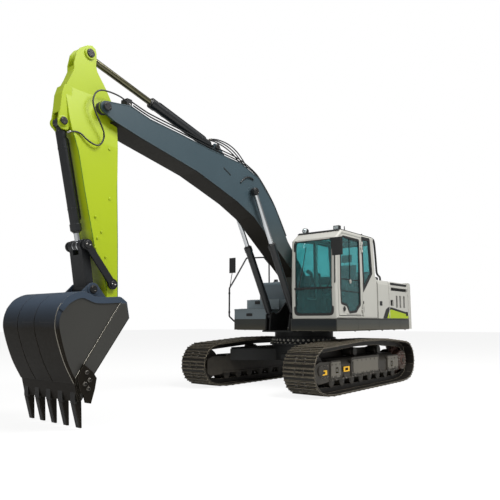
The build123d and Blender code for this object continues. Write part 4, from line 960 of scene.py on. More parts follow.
piped("cab_grab_rail", [(1.0, 1.3, 1.95), (1.035, 1.33, 1.95), (1.035, 1.33, 2.0), (1.03, 1.33, 2.3),
                        (1.02, 1.33, 2.6), (1.02, 1.33, 2.64), (0.99, 1.3, 2.64)],
      0.011, black_plastic, "upperstructure")
piped("roof_rail", [(-0.55, 1.26, 2.96), (-0.66, 1.27, 2.958), (-0.75, 1.27, 2.93), (-0.785, 1.27, 2.83),
                    (-0.835, 1.27, 2.4), (-0.845, 1.27, 2.25), (-0.92, 1.27, 2.2), (-1.04, 1.25, 2.185),
                    (-1.12, 1.22, 2.15), (-1.14, 1.21, 2.1)], 0.021, black_plastic, "upperstructure")
pre_cleaner = bmesh.new()
lathed(pre_cleaner, (-1.02, 1.05, 2.099), (0, 0, 1), [(0, 0.05), (0.05, 0.05), (0.055, 0.085), (0.12, 0.09),
                                                      (0.145, 0.075), (0.155, 0.04)])
settle("pre_cleaner", pre_cleaner, black_plastic, "upperstructure", 0.0, True)

# roof: visor over the windscreen, rain gutters, aerials and the two work lamps
roof = bmesh.new()
extruded(roof, [(0.75, 2.951), (0.8, 2.925), (0.81, 2.935), (0.76, 2.964)], 0.4, 1.31, along_y)
for y in (0.385, 1.315):
    bar(roof, -0.55, 0.74, y - 0.006, y + 0.006, 2.949, 2.962)
settle("roof_visor", roof, black_plastic, "upperstructure", 0.003)
aerials = bmesh.new()
lathed(aerials, (0.42, 1.22, 2.95), (0, 0, 1), [(0, 0.03), (0.02, 0.03), (0.03, 0.012), (0.12, 0.007)], 12)
lathed(aerials, (-0.35, 1.2, 2.95), (0, 0, 1), [(0, 0.028), (0.02, 0.028), (0.035, 0.014), (0.07, 0.012)], 12)
settle("roof_aerials", aerials, black_plastic, "upperstructure", 0.0, True)
# fluted glass before a bright reflector: pale, banded and half mirror-like
lamp_glass, lamp_tree, lamp_shader = blank_material(
    "fluted_lamp_glass", {"Base Color": linear("#C9D2D4"), "Roughness": 0.12, "Metallic": 0.6})
flutes = add(lamp_tree, "ShaderNodeTexWave", {"bands_direction": "Y"}, {"Scale": 45.0},
             {"Vector": add(lamp_tree, "ShaderNodeTexCoord").outputs["Object"]})
lamp_tree.links.new(add(lamp_tree, "ShaderNodeBump", values={"Strength": 0.4, "Distance": 0.002},
                        links={"Height": flutes.outputs["Fac"]}).outputs[0], lamp_shader.inputs["Normal"])
lenses = bmesh.new()
lathed(lenses, (0.7255, 0.51, 3.01), (1, 0, 0), [(0, 0.046), (0.004, 0.044), (0.009, 0.028)])
extruded(lenses, rounded_corners(oblong(1.162, 1.258, 2.972, 3.028), 0.012), 0.7305, 0.735, along_x)
settle("lamp_lenses", lenses, lamp_glass, "upperstructure")
lamp_stays = bmesh.new()
for y in (0.51, 1.21):
    extruded(lamp_stays, oblong(0.665, 0.715, y - 0.045, y + 0.045), 2.948, 2.956, along_z)
    for y0, y1 in ((y - 0.04, y - 0.032), (y + 0.032, y + 0.04)):
        extruded(lamp_stays, [(0.675, 2.955), (0.705, 2.955), (0.7, 2.99), (0.68, 2.99)], y0, y1, along_y)
settle("lamp_stays", lamp_stays, black_plastic, "upperstructure", 0.001)

# wiper: motor cap, arm and blade parked at the side of the windscreen
wiper = bmesh.new()
lathed(wiper, (1.0, 0.56, 1.86), (1, 0, 0), [(0, 0.024), (0.04, 0.024), (0.046, 0.016)], 16)
for p, q, r in (((1.035, 0.56, 1.86), (1.03, 0.66, 2.3), 0.008),
                ((1.026, 0.62, 2.1), (1.012, 0.72, 2.64), 0.007)):
    way = Vector(q) - Vector(p)
    lathed(wiper, p, way, [(0, r), (way.length, r * 0.8)], 8)
settle("wiper", wiper, black_plastic, "upperstructure")

# interior: dark moulded trim on the walls, ceiling and floor, and grips on the levers
trim_plastic = moulded_plastic("grey_trim_plastic", "#0C171B", 0.8)
lining = bmesh.new()
bar(lining, -0.6, 0.93, 0.42, 1.297, 1.346, 1.352)
bar(lining, -0.61, 0.9, 0.418, 0.424, 1.36, 1.68)
bar(lining, -0.645, -0.64, 0.43, 1.29, 1.36, 2.12)
bar(lining, -0.53, -0.21, 0.43, 1.29, 2.895, 2.9)
bar(lining, 0.51, 0.72, 0.43, 1.29, 2.895, 2.9)
bar(lining, -0.62, -0.06, 1.293, 1.298, 1.36, 1.83)
bar(lining, 0.86, 0.95, 0.43, 1.29, 1.35, 1.37)
bar(lining, -0.6, -0.42, 0.8, 1.25, 1.38, 1.9)
settle("cab_lining", lining, trim_plastic, "upperstructure", 0.002)
middle = (0.372 + 1.345) / 2    # halfway between the cab's side walls
grips = bmesh.new()
for side in (-1, 1):
    lathed(grips, (0.256, middle + side * 0.3, 2.06), (0.15, 0, 1), [(0, 0.02), (0.03, 0.027), (0.1, 0.025),
                                                                    (0.13, 0.03), (0.15, 0.018)], 16)
    lathed(grips, (0.505, middle + side * 0.09, 1.77), (-0.16, 0, 1),
           [(0, 0.018), (0.04, 0.02), (0.1, 0.016)], 16)
settle("lever_grips", grips, black_plastic, "upperstructure", 0.0, True)
# the monitor's dark glass shows faint bands of a plain display
screen, screen_tree, screen_shader = blank_material("screen_glass", {"Roughness": 0.08})
bands = add(screen_tree, "ShaderNodeTexWave", {"bands_direction": "Z"}, {"Scale": 14.0},
            {"Vector": add(screen_tree, "ShaderNodeTexCoord").outputs["Object"]})
screen_tree.links.new(add(screen_tree, "ShaderNodeMix", {"data_type": "RGBA"},
                          {6: linear("#0E1B22"), 7: linear("#1D3440")}, {0: bands.outputs["Fac"]}).outputs[2],
                      screen_shader.inputs["Base Color"])
display = bmesh.new()
extruded(display, rounded_corners(oblong(0.45, 0.61, 1.925, 2.1), 0.01), 0.695, 0.699, along_x)
settle("monitor_screen", display, screen, "upperstructure")

# operator's seat: foam pads in woven cloth, crowned, with two sewn channels and piping
cloth, cloth_tree, cloth_shader = blank_material("woven_seat_cloth", {"Roughness": 0.9, "Sheen Weight": 0.3})
thread = add(cloth_tree, "ShaderNodeTexCoord").outputs["Object"]
warp = add(cloth_tree, "ShaderNodeTexWave", {"bands_direction": "Y"}, {"Scale": 110.0}, {"Vector": thread})
weft = add(cloth_tree, "ShaderNodeTexWave", {"bands_direction": "Z"}, {"Scale": 110.0}, {"Vector": thread})
weave = add(cloth_tree, "ShaderNodeMath", {"operation": "MULTIPLY"},
            links={0: warp.outputs["Fac"], 1: weft.outputs["Fac"]})
cloth_tree.links.new(add(cloth_tree, "ShaderNodeMix", {"data_type": "RGBA"},
                         {6: linear("#3A4547"), 7: linear("#5E6C6E")}, {0: weave.outputs[0]}).outputs[2],
                     cloth_shader.inputs["Base Color"])
cloth_tree.links.new(add(cloth_tree, "ShaderNodeBump", values={"Strength": 0.4, "Distance": 0.002},
                         links={"Height": weave.outputs[0]}).outputs[0], cloth_shader.inputs["Normal"])


def pad(shape, centre, across, up, w, h, thick, channels=()):
    """Adds a crowned cushion: w along across, h along up, with channels at shares of the width."""
    across, up = Vector(across).normalized(), Vector(up).normalized()
    out = across.cross(up)
    n = 24
    sheets = []
    for face in (1, -1):
        rows = []
        for i in range(n + 1):
            row = []
            for j in range(n + 1):
                u, v = 2 * i / n - 1, 2 * j / n - 1
                crown = (max(0.0, 1 - abs(u) ** 4) * max(0.0, 1 - abs(v) ** 4)) ** 0.5
                dip = sum(math.exp(-((u - c) / 0.05) ** 2) for c in channels) * 0.3 if face > 0 else 0.0
                pull = 1 - 0.05 * (1 - abs(u) ** 2) * abs(v) ** 6
                pull_u = 1 - 0.05 * (1 - abs(v) ** 2) * abs(u) ** 6
                d = face * thick / 2 * crown * (1 - dip) * (1.0 if face > 0 else 0.8)
                row.append(shape.verts.new(Vector(centre) + across * u * w / 2 * pull_u
                                           + up * v * h / 2 * pull + out * d))
            rows.append(row)
        sheets.append(rows)
        for i in range(n):
            for j in range(n):
                quad = (rows[i][j], rows[i + 1][j], rows[i + 1][j + 1], rows[i][j + 1])
                shape.faces.new(quad if face > 0 else quad[::-1])


seat_pads = bmesh.new()
pad(seat_pads, (-0.01, middle, 1.762), (0, 1, 0), (-1, 0, 0), 0.47, 0.47, 0.118, (-0.42, 0.42))
pad(seat_pads, (-0.283, middle, 2.09), (0, 1, 0), (-0.12, 0, 1), 0.45, 0.64, 0.1, (-0.42, 0.42))
pad(seat_pads, (-0.318, middle, 2.53), (0, 1, 0), (-0.12, 0, 1), 0.25, 0.17, 0.07)
bmesh.ops.remove_doubles(seat_pads, verts=seat_pads.verts, dist=1e-5)
seat_cushions = settle("seat_cushions", seat_pads, cloth, "upperstructure", 0.0, True)
seat_cushions.modifiers.clear()
softened = seat_cushions.modifiers.new("softened", "SUBSURF")
softened.levels = softened.render_levels = 1
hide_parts("seat")
SEAT_PIPING = [(0.225, middle - 0.23, 1.763), (0.225, middle, 1.763), (0.225, middle + 0.23, 1.763),
               (0.0, middle + 0.235, 1.763), (-0.23, middle + 0.23, 1.763)]
BACK_PIPING = [(-0.25, middle - 0.222, 1.8), (-0.283, middle - 0.224, 2.09), (-0.315, middle - 0.22, 2.39),
               (-0.318, middle, 2.4), (-0.315, middle + 0.22, 2.39), (-0.283, middle + 0.224, 2.09),
               (-0.25, middle + 0.222, 1.8)]
for name, points in (("seat_piping", SEAT_PIPING), ("seat_back_piping", BACK_PIPING)):
    piped(name, points, 0.004, seal_rubber, "upperstructure", 2)
stays = bmesh.new()
for y in (middle - 0.06, middle + 0.06):
    lathed(stays, (-0.335, y, 2.36), (0.05, 0, 1), [(0, 0.007), (0.12, 0.007)], 10)
settle("headrest_stays", stays, bolt_steel, "upperstructure")


# ---- boom ---------------------------------------------------------------------------------------
# The boom is a box welded from four long plates, sprayed slate, with painted shade under the belly. Steel
# pipes run along its back in clamped blocks, and short hoses join them to the cylinders.
boom_enamel = sprayed_paint("slate_enamel", "#394950", "#324148", 0.38, edge="#737B7F", low="#484B47",
                            levels=(2.3, 3.5))
dress(boom_enamel, "boom")
# the boom's pipes and blocks are nearly black, with a soft gloss
pipe_enamel = sprayed_paint("black_pipe_enamel", "#1B1D1E", "#141516", 0.36, edge="#5A5A58")
dress(pipe_enamel, "boom_pipes")
BOOM_TOP = [(1.32, 3.45), (1.81, 3.89), (2.32, 4.05), (3.18, 4.1), (3.79, 4.16), (4.46, 4.215), (4.82, 4.3)]
BOOM_BELLY = [(0.17, 1.69), (0.56, 2.14), (1.33, 2.69), (1.94, 3.13), (2.43, 3.34), (2.97, 3.51),
              (3.43, 3.65), (4.14, 3.79), (4.63, 3.885), (5.09, 3.99)]


def seam(shape, points, radius=0.006):
    """Adds a weld bead along straight runs."""
    for a, b in zip(points, points[1:]):
        way = Vector(b) - Vector(a)
        lathed(shape, a, way, [(0, radius), (way.length, radius)], 6)


BOOM_HALF = 0.2085
beads = bmesh.new()
for y in (-BOOM_HALF, BOOM_HALF):
    seam(beads, [(x + 0.003, y, z + 0.004) for x, z in BOOM_BELLY])
    seam(beads, [(x, y, z - 0.003) for x, z in BOOM_TOP])
settle("boom_seams", beads, boom_enamel, "boom")
belly = bmesh.new()
for (x0, z0), (x1, z1) in zip(BOOM_BELLY[1:], BOOM_BELLY[2:]):
    tilt = math.atan2(z1 - z0, x1 - x0)
    nx, nz = math.sin(tilt) * 0.0012, -math.cos(tilt) * 0.0012
    quad = [(x0 + nx * 5, z0 + nz * 5), (x1 + nx * 5, z1 + nz * 5), (x1, z1), (x0, z0)]
    extruded(belly, quad, -0.2, 0.2, along_y)
# painted shade under the boom: a brown-black sheet along the belly, without gloss
belly_painted_shade_enamel = sprayed_paint("brown_black_painted_shade_enamel", "#1F1C16", "#171510", 0.55, edge="#3E3A32",
                             gloss=0.15)
settle("boom_belly_painted_shade_plate", belly, belly_painted_shade_enamel, "boom")

steel_enamel = sprayed_paint("black_boss_enamel", "#191A1B", "#121213", 0.4, edge="#7A7A76")


def pin_caps(name, body, pins, profile, ring, lift, angles, across, finish):
    """Turned caps on both ends of pins, each (x, z, radius, half its length), with their keeper
    bolts. The cap's profile is (height, share of the radius), and the bolts' ring a share too."""
    caps, spots = bmesh.new(), []
    for side in (-1, 1):
        out = (0, side, 0)
        for x, z, r, y in pins:
            lathed(caps, (x, side * y, z), out, [(d, r * share) for d, share in profile])
            spots += [((x + r * ring * math.cos(a), side * (y + lift), z + r * ring * math.sin(a)), out)
                      for a in angles]
    settle(f"{name}_pin_caps", caps, steel_enamel, body, 0.002)
    bolts(f"{name}_pin_bolts", body, spots, across, finish)


pin_caps("boom", "boom", [(0.05, 1.79, 0.07, 0.212), (5.235, 4.146, 0.062, 0.236), (2.03, 3.58, 0.066, 0.32),
                          (2.86, 4.23, 0.056, 0.116)],
         [(0, 1), (0.012, 1), (0.018, 0.85)], 0.62, 0.016, (0.6, 0.6 + math.pi), 0.016, bolt_steel)
tip_rings = bmesh.new()
for side in (-1, 1):
    for k in range(4):
        lathed(tip_rings, (5.235, side * (0.092 + 0.018 * k), 4.146), (0, side, 0),
               [(0, 0.086), (0.004, 0.09), (0.01, 0.09), (0.014, 0.086)])
settle("arm_pivot_seals", tip_rings, seal_rubber, "arm", 0.0, True)
dress(steel_enamel, "arm_pivot_pin")

# pipe blocks: a black block on the boom's back with two bolts, wherever the pipes are clamped
blocks, spots = bmesh.new(), []
for (x0, z0), (x1, z1) in zip(BOOM_TOP[1:], BOOM_TOP[2:]):
    n = math.dist((x0, z0), (x1, z1))
    ux, uz = (x1 - x0) / n, (z1 - z0) / n
    for share in (0.22, 0.78):
        mx, mz = x0 + (x1 - x0) * share, z0 + (z1 - z0) * share
        quad = [(mx + ux * a - uz * h, mz + uz * a + ux * h) for a, h in
                ((-0.022, -0.004), (0.022, -0.004), (0.022, 0.044), (-0.022, 0.044))]
        extruded(blocks, quad, -0.209, -0.111, along_y)
        spots += [((mx - uz * 0.044, y, mz + ux * 0.044), (-uz, 0, ux)) for y in (-0.184, -0.136)]
settle("pipe_blocks", blocks, pipe_enamel, "boom", 0.002)
bolts("pipe_block_bolts", "boom", spots, 0.014, bright_bolt_steel)

# a second pair of pipes along the near edge, one over the other, to the junction at the tip
for k, (rise, y) in enumerate(((0.12, 0.13), (0.04, 0.19))):
    run = []
    for (x0, z0), (x1, z1) in zip([(0.87, 2.81)] + BOOM_TOP, BOOM_TOP):
        n = math.dist((x0, z0), (x1, z1))
        for share in (0.14, 0.86):
            run.append((x0 + (x1 - x0) * share - (z1 - z0) / n * rise, y,
                        z0 + (z1 - z0) * share + (x1 - x0) / n * rise))
    piped(f"boom_edge_pipe_{k}", run, 0.011, pipe_enamel, "boom", 3)
piped("lift_pin_grease_line", [(2.35, 0.212, 3.69), (2.29, 0.218, 3.76), (2.18, 0.222, 3.83),
                               (2.06, 0.222, 3.85), (1.98, 0.214, 3.82)], 0.014, pipe_enamel, "boom", 3)

# grab bar and junction blocks on the boom's back, near the foot of the arm cylinder
fittings = bmesh.new()
for x, z, w in ((2.62, 4.085, 0.12), (3.3, 4.125, 0.1)):
    bar(fittings, x - w / 2, x + w / 2, -0.1, 0.02, z - 0.01, z + 0.07)
    for y in (-0.075, -0.04, -0.005):
        lathed(fittings, (x, y, z + 0.07), (0, 0, 1), [(0, 0.014), (0.02, 0.014), (0.024, 0.01)], 6)
bar(fittings, 4.79, 4.88, 0.06, 0.2, 4.27, 4.4)
bar(fittings, 1.83, 1.95, -0.09, 0.09, 3.88, 3.97)
extruded(fittings, [(2.8, 3.85), (2.8, 3.87), (2.615, 3.782), (2.615, 3.762)], 0.208, 0.2125, along_y)
settle("junction_blocks", fittings, steel_enamel, "boom", 0.002)


# ---- hoses on the boom ---------------------------------------------------------------------------
# Wire-braided rubber hoses carry the oil across the joints in slack loops. Matt black rubber with
# a fine braid, and crimped ends of zinc-coated steel that catch the light.
hose_rubber = moulded_plastic("braided_hose_rubber", "#111214", 0.45, 0.008)
crimped = bare_steel("zinc_crimped_fitting_steel", "#8C8A84", "#6E6C67", "#D5D3CC", 0.3, 0.02)


def route(points):
    """The points that a bent line passes."""
    line = bent_line("route", points)
    bare = placed("route", line)
    mesh = bpy.data.meshes.new_from_object(bare.evaluated_get(bpy.context.evaluated_depsgraph_get()))
    found = [v.co.copy() for v in mesh.vertices]
    bpy.data.objects.remove(bare)
    bpy.data.curves.remove(line)
    bpy.data.meshes.remove(mesh)
    return found


def hose(name, points, diameter, body, far_body=None):
    """A hose of one length with a crimped end at each side. Where it crosses a joint, its tube stays
    fixed where it is made, on no body, and its far end rides on the far body."""
    line, radius, sides = route(points), diameter / 2, 12
    tube = bmesh.new()
    rings, up = [], Vector((0, 1, 0))
    for i, p in enumerate(line):
        way = (line[min(i + 1, len(line) - 1)] - line[max(i - 1, 0)]).normalized()
        up = (up - way * up.dot(way)).normalized()
        across = way.cross(up)
        rings.append([tube.verts.new(p + (across * math.cos(a) + up * math.sin(a)) * radius)
                      for a in [2 * math.pi * k / sides for k in range(sides)]])
    for lower, upper in zip(rings, rings[1:]):
        for k in range(sides):
            j = (k + 1) % sides
            tube.faces.new((lower[k], lower[j], upper[j], upper[k]))
    tube.faces.new(rings[0][::-1])
    tube.faces.new(rings[-1])
    piece = formed(name, tube, hose_rubber, True)
    if far_body:
        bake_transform(piece)
    else:
        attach(piece, body)
    for tag, a, b, carrier in (("near", points[0], points[1], body),
                               ("far", points[-1], points[-2], far_body or body)):
        way = (Vector(b) - Vector(a)).normalized()
        ends = bmesh.new()
        lathed(ends, Vector(a) - way * 0.01, way,
               [(0, radius * 1.25), (0.018, radius * 1.5), (0.05, radius * 1.4), (0.056, radius * 1.1)], 12)
        settle(f"{name}_{tag}_end", ends, crimped, carrier, 0.0, True)


FRONT_HOSE, DECK_HOSE = 0.022, 0.026    # outside diameters
for k, y in enumerate((-0.05, 0.0, 0.05)):
    hose(f"arm_cylinder_hose_{k}",
         [(2.98, y, 4.35), (2.88, y, 4.385), (2.72, y * 1.2, 4.4), (2.5, y * 1.4, 4.385),
          (2.25, y * 1.2, 4.31), (2.02, y, 4.15), (1.93, y, 4.03), (1.89, y, 3.936)],
         FRONT_HOSE, "boom")
hose("bucket_hose_near", [(4.8, 0.19, 4.305), (4.92, 0.19, 4.375), (5.13, 0.19, 4.395), (5.36, 0.19, 4.365),
                          (5.45, 0.19, 4.2), (5.41, 0.2, 4.04), (5.3, 0.2, 3.88), (5.22, 0.19, 3.74),
                          (5.29, 0.175, 3.57), (5.46, 0.165, 3.6), (5.62, 0.14, 3.73), (5.74, 0.115, 3.66)],
     FRONT_HOSE, "boom", "arm")
DECK_TOP, DECK_HOSES = 1.085, [-0.11 + 0.055 * k for k in range(5)]
for k, y in enumerate(DECK_HOSES):
    hose(f"deck_hose_{k}",
         [(-0.45, y, DECK_TOP), (-0.45, y, 1.21), (-0.4, y * 1.1, 1.34), (-0.2, y * 1.1, 1.39),
          (0.1, y * 1.1, 1.37), (0.32, y, 1.33), (0.41, y, 1.2), (0.41, y, DECK_TOP)],
         DECK_HOSE, "upperstructure")
valve = bmesh.new()
bar(valve, -0.44, -0.3, -0.17, 0.17, 1.42, 1.62)
for y in DECK_HOSES:
    lathed(valve, (-0.35, y, 1.6), (0, 0, 1), [(0, 0.02), (0.05, 0.02), (0.055, 0.014)], 6)
for side in (-1, 1):
    y0, y1 = sorted((side * 0.16, side * 0.218))
    bar(valve, -0.44, -0.3, y0, y1, 1.45, 1.5)
settle("hose_manifolds", valve, steel_enamel, "upperstructure", 0.003)


# ---- arm ----------------------------------------------------------------------------------------
# The arm is a tapering box of four plates in lime enamel. Threaded bosses and clamp studs stand on
# its side, and a pipe pair runs down its back to the bucket cylinder.
dress(lime_enamel, "arm")


def arm_half_width(z):
    """Half the arm's width at a height, at rest."""
    for (z0, w0), (z1, w1) in zip(((1.1, 0.158), (2.3, 0.158), (3.65, 0.132), (4.3, 0.08)),
                                  ((2.3, 0.158), (3.65, 0.132), (4.3, 0.08), (6.0, 0.08))):
        if z <= z1:
            return w0 + (w1 - w0) * (z - z0) / (z1 - z0)
    return 0.08


studs, spots = bmesh.new(), []
for side in (-1, 1):
    for x, z in ((5.2, 2.43), (5.26, 2.34), (5.29, 2.21), (5.23, 1.98), (5.3, 2.62), (5.12, 2.1)):
        y = side * (arm_half_width(z) - 0.004)
        lathed(studs, (x, y, z), (0, side, 0), [(0, 0.016), (0.018, 0.016), (0.021, 0.011)], 12)
    for x, z in ((5.1, 3.6), (5.08, 2.9)):
        y = side * (arm_half_width(z) - 0.004)
        lathed(studs, (x, y, z), (0, side, 0), [(0, 0.02), (0.012, 0.02), (0.015, 0.014)], 12)
settle("arm_studs", studs, lime_enamel, "arm", 0.001)
beads = bmesh.new()
for side in (-1, 1):
    front = [(5.078, 1.65), (5.132, 1.85), (5.222, 2.03), (5.303, 2.23), (5.477, 2.95), (5.586, 3.44),
             (5.68, 3.702)]
    back = [(4.89, 1.42), (4.925, 2.3), (4.955, 3.05), (4.965, 4.0), (4.985, 4.12), (5.058, 4.308)]
    for line, dx in ((front, -0.004), (back, 0.004)):
        seam(beads, [(x + dx, side * (arm_half_width(z) - 0.001), z) for x, z in line], 0.005)
# painted shade: the beads along the arm's corners are a darker green, where the corner between side and front
# lies in shade
seam_painted_shade_enamel = sprayed_paint("painted_shade_lime_enamel", "#567A1E", "#4A6C1C", 0.5, edge="#7F9A2A", rub=0.3)
settle("arm_seams", beads, seam_painted_shade_enamel, "arm")

pin_caps("arm", "arm", [(5.44, 4.875, 0.06, 0.1), (5.8, 3.8, 0.052, 0.112)],
         [(0, 1), (0.01, 1), (0.015, 0.85)], 0.6, 0.014,
         (0.4, 0.4 + 2 * math.pi / 3, 0.4 + 4 * math.pi / 3), 0.014, bolt_steel)
rings = bmesh.new()
for side in (-1, 1):
    lathed(rings, (5.8, side * 0.089, 3.8), (0, side, 0), [(0, 0.075), (0.008, 0.075), (0.01, 0.06)])
settle("bucket_cylinder_pin_rings", rings, lime_enamel, "arm", 0.001)
for k, y in enumerate((-0.03, 0.03)):
    piped(f"arm_pipe_{k}", [(5.0, y, 4.2), (4.93, y, 4.12), (4.93, y, 3.9), (4.925, y, 3.4), (4.918, y, 3.05),
                            (4.905, y, 2.7), (4.93, y, 2.6)], 0.009, pipe_enamel, "arm")
clips = bmesh.new()
for x, z in ((4.943, 3.85), (4.934, 3.35), (4.93, 2.85)):
    bar(clips, x - 0.018, x + 0.03, -0.05, 0.05, z - 0.02, z + 0.02)
settle("arm_pipe_clips", clips, pipe_enamel, "arm", 0.002)


# ---- links and bucket ----------------------------------------------------------------------------
# A back plate rolled in one curve, two side plates and a thick lip are welded into the bucket.
# Cast teeth are pinned on adapters, and side cutters are bolted to the edges. Worn dark enamel, with
# painted light on the back's top and painted shade lower down.
# the back's enamel is slate blue-grey at the top, painted light from above, and goes to near-black brown
# between 1.5 m and 1.2 m high, painted shade
bucket_lit_and_shaded_enamel = sprayed_paint("painted_light_slate_to_painted_shade_brown_enamel", "#3A4553", "#323C48", 0.5, edge="#7F7A70",
                              rub=0.7, low="#120E07", levels=(1.2, 1.5), gloss=0.12)
side_enamel = sprayed_paint("warm_dark_grey_enamel", "#33332F", "#2C2B29", 0.45, edge="#7B776D", rub=0.7)
link_enamel = sprayed_paint("black_link_enamel", "#15171A", "#101214", 0.42, edge="#56544E")
dress(bucket_lit_and_shaded_enamel, "bucket")
dress(link_enamel, "power_link", "idler_links")
LINK_HALF = 0.2055    # half the length of the pins through the bucket's ears and the links

# (x, z) outlines of the back: the sheet's own corners, the wear plates' outside, and the side's inset
BUCKET_BACK = [(5.79, 0.55), (5.92, 0.79), (6.03, 1.08), (6.065, 1.24), (6.02, 1.39), (5.92, 1.52),
               (5.74, 1.592), (5.53, 1.535), (5.2, 1.552)]
BUCKET_SKIN = [(5.803, 0.538), (5.94, 0.78), (6.05, 1.07), (6.081, 1.24), (6.043, 1.4), (5.935, 1.53),
               (5.745, 1.6), (5.53, 1.542), (5.2, 1.556)]
BUCKET_INSET = [(5.19, 1.48), (5.53, 1.465), (5.735, 1.52), (5.89, 1.46), (5.985, 1.36), (6.02, 1.24),
                (5.995, 1.09), (5.9, 0.81), (5.79, 0.6)]


def flowing(points, steps=6, x_max=6.0828):
    """A smooth line through all its points that stays behind one limit."""
    out = []
    for i in range(len(points) - 1):
        a, b, c, d = (Vector(points[min(max(i + n, 0), len(points) - 1)]) for n in (-1, 0, 1, 2))
        for k in range(steps):
            s = k / steps
            p = 0.5 * ((2 * b) + (c - a) * s + (2 * a - 5 * b + 4 * c - d) * s ** 2
                       + (3 * b - a - 3 * c + d) * s ** 3)
            out.append((min(p.x, x_max), p.y))
    return out + [points[-1]]


# the back is covered by three rolled wear plates with a gap between each pair
plates = bmesh.new()
back = [(x - 0.006, z - 0.002) for x, z in BUCKET_BACK]
for y0, y1 in ((-0.579, -0.237), (-0.22, 0.141), (0.158, 0.579)):
    outer = [plates.verts.new((x, y, z)) for y in (y0, y1) for x, z in flowing(BUCKET_SKIN)]
    n = len(outer) // 2
    for k in range(n - 1):
        plates.faces.new((outer[k], outer[k + 1], outer[n + k + 1], outer[n + k]))
    rim = [[plates.verts.new((x, y, z)) for x, z in back] for y in (y0, y1)]
    plates.faces.new(list(outer[:n]) + rim[0][::-1])
    plates.faces.new(list(outer[n:]) + rim[1][::-1])
    plates.faces.new((outer[0], outer[n], rim[1][0], rim[0][0]))
    plates.faces.new((outer[n - 1], outer[2 * n - 1], rim[1][-1], rim[0][-1]))
    for k in range(len(back) - 1):
        plates.faces.new((rim[0][k], rim[0][k + 1], rim[1][k + 1], rim[1][k]))
settle("bucket_wear_plates", plates, bucket_lit_and_shaded_enamel, "bucket", 0.0, True)

skins, bands = bmesh.new(), bmesh.new()
for side in (-1, 1):
    plate(skins, flowing(BUCKET_INSET), side, 0.5795, 0.582)
    plate(skins, [(5.098, 1.475), (5.052, 1.292), (5.11, 1.215), (5.537, 0.64), (5.645, 0.435), (5.7, 0.36),
                     (5.78, 0.59), (5.186, 1.47)], side, 0.5915, 0.594)
    plate(bands, flowing(BUCKET_SKIN[4:]) + flowing(BUCKET_INSET[:5]), side, 0.5785, 0.5935)
settle("bucket_side_skins", skins, side_enamel, "bucket")
settle("bucket_side_bands", bands, bucket_lit_and_shaded_enamel, "bucket")
beads = bmesh.new()
for side in (-1, 1):
    seam(beads, [(5.186, side * 0.59, 1.48), (5.79, side * 0.59, 0.6)], 0.005)
    edge_line = [(x - 0.004, z) for x, z in flowing(BUCKET_SKIN[:6])]
    seam(beads, [(x, side * 0.58, z) for x, z in edge_line], 0.0045)
# beads that were ground after welding shine more than the enamel round them
bright_bead = bare_steel("ground_weld_steel", "#6B675F", "#4F4C46", "#B9B4A8", 0.4, 0.03)
settle("bucket_seams", beads, bright_bead, "bucket")

# each tooth in outline: the adapter's strap, its nose, and the point, with half their widths
TOOTH = [([(5.775, 0.475), (5.8, 0.56), (5.745, 0.6), (5.735, 0.55), (5.745, 0.47)], 0.05),
         ([(5.768, 0.455), (5.76, 0.31), (5.735, 0.3), (5.72, 0.46)], 0.047),
         ([(5.757, 0.3), (5.676, 0.028), (5.66, 0.03), (5.7, 0.3)], 0.03)]
adapters = bmesh.new()
tooth_steel = bare_steel("cast_tooth_steel", "#121110", "#0C0B0A", "#4A463F", 0.5, 0.03, 0.4)
for y in (-0.51, -0.255, 0.0, 0.255, 0.51):
    for s in (-1, 1):
        lathed(adapters, (5.72, y + s * 0.044, 0.385), (0, s, 0),
               [(0, 0.017), (0.006, 0.017), (0.008, 0.012)], 12)
    for outline, half in TOOTH:
        extruded(adapters, outline, y - half, y + half, along_y)
settle("tooth_adapters", adapters, tooth_steel, "bucket", 0.004)
bolts("side_cutter_bolts", "bucket",
      [((x, side * 0.6205, z), (0, side, 0)) for side in (-1, 1)
       for x, z in ((5.66, 0.66), (5.62, 0.57), (5.68, 0.53), (5.63, 0.47))], 0.034, bolt_steel)
pin_caps("bucket", "bucket", [(5.0, 1.29, 0.062, LINK_HALF), (5.32, 1.66, 0.056, LINK_HALF)],
         [(0, 1), (0.008, 1), (0.012, 0.85)], 0.55, 0.0115, (0.8, 3.94), 0.014, bolt_steel)
pin_caps("link", "idler_links", [(5.015, 1.74, 0.045, LINK_HALF), (5.43, 2.23, 0.05, LINK_HALF)],
         [(0, 1), (0.01, 1), (0.014, 0.8)], 0.5, 0.0135, (0.2, 3.34), 0.013, bright_bolt_steel)


# ---- cylinders -----------------------------------------------------------------------------------
# Honed steel barrels in black enamel with bolted gland rings, and rods of hard chrome. Each barrel
# has a steel supply pipe along it, held by two bands.
barrel_enamel = sprayed_paint("black_barrel_enamel", "#14171A", "#0F1113", 0.3, edge="#4E5052", gloss=0.5)
chrome = bare_steel("hard_chrome", "#C9CCCF", "#BDC0C3", "#F2F3F4", 0.14, 0.3, 1.0)
dress(barrel_enamel, "boom_cylinder_barrel", "arm_cylinder_barrel", "bucket_cylinder_barrel")
dress(chrome, "boom_cylinder_rod", "bucket_cylinder_rod")
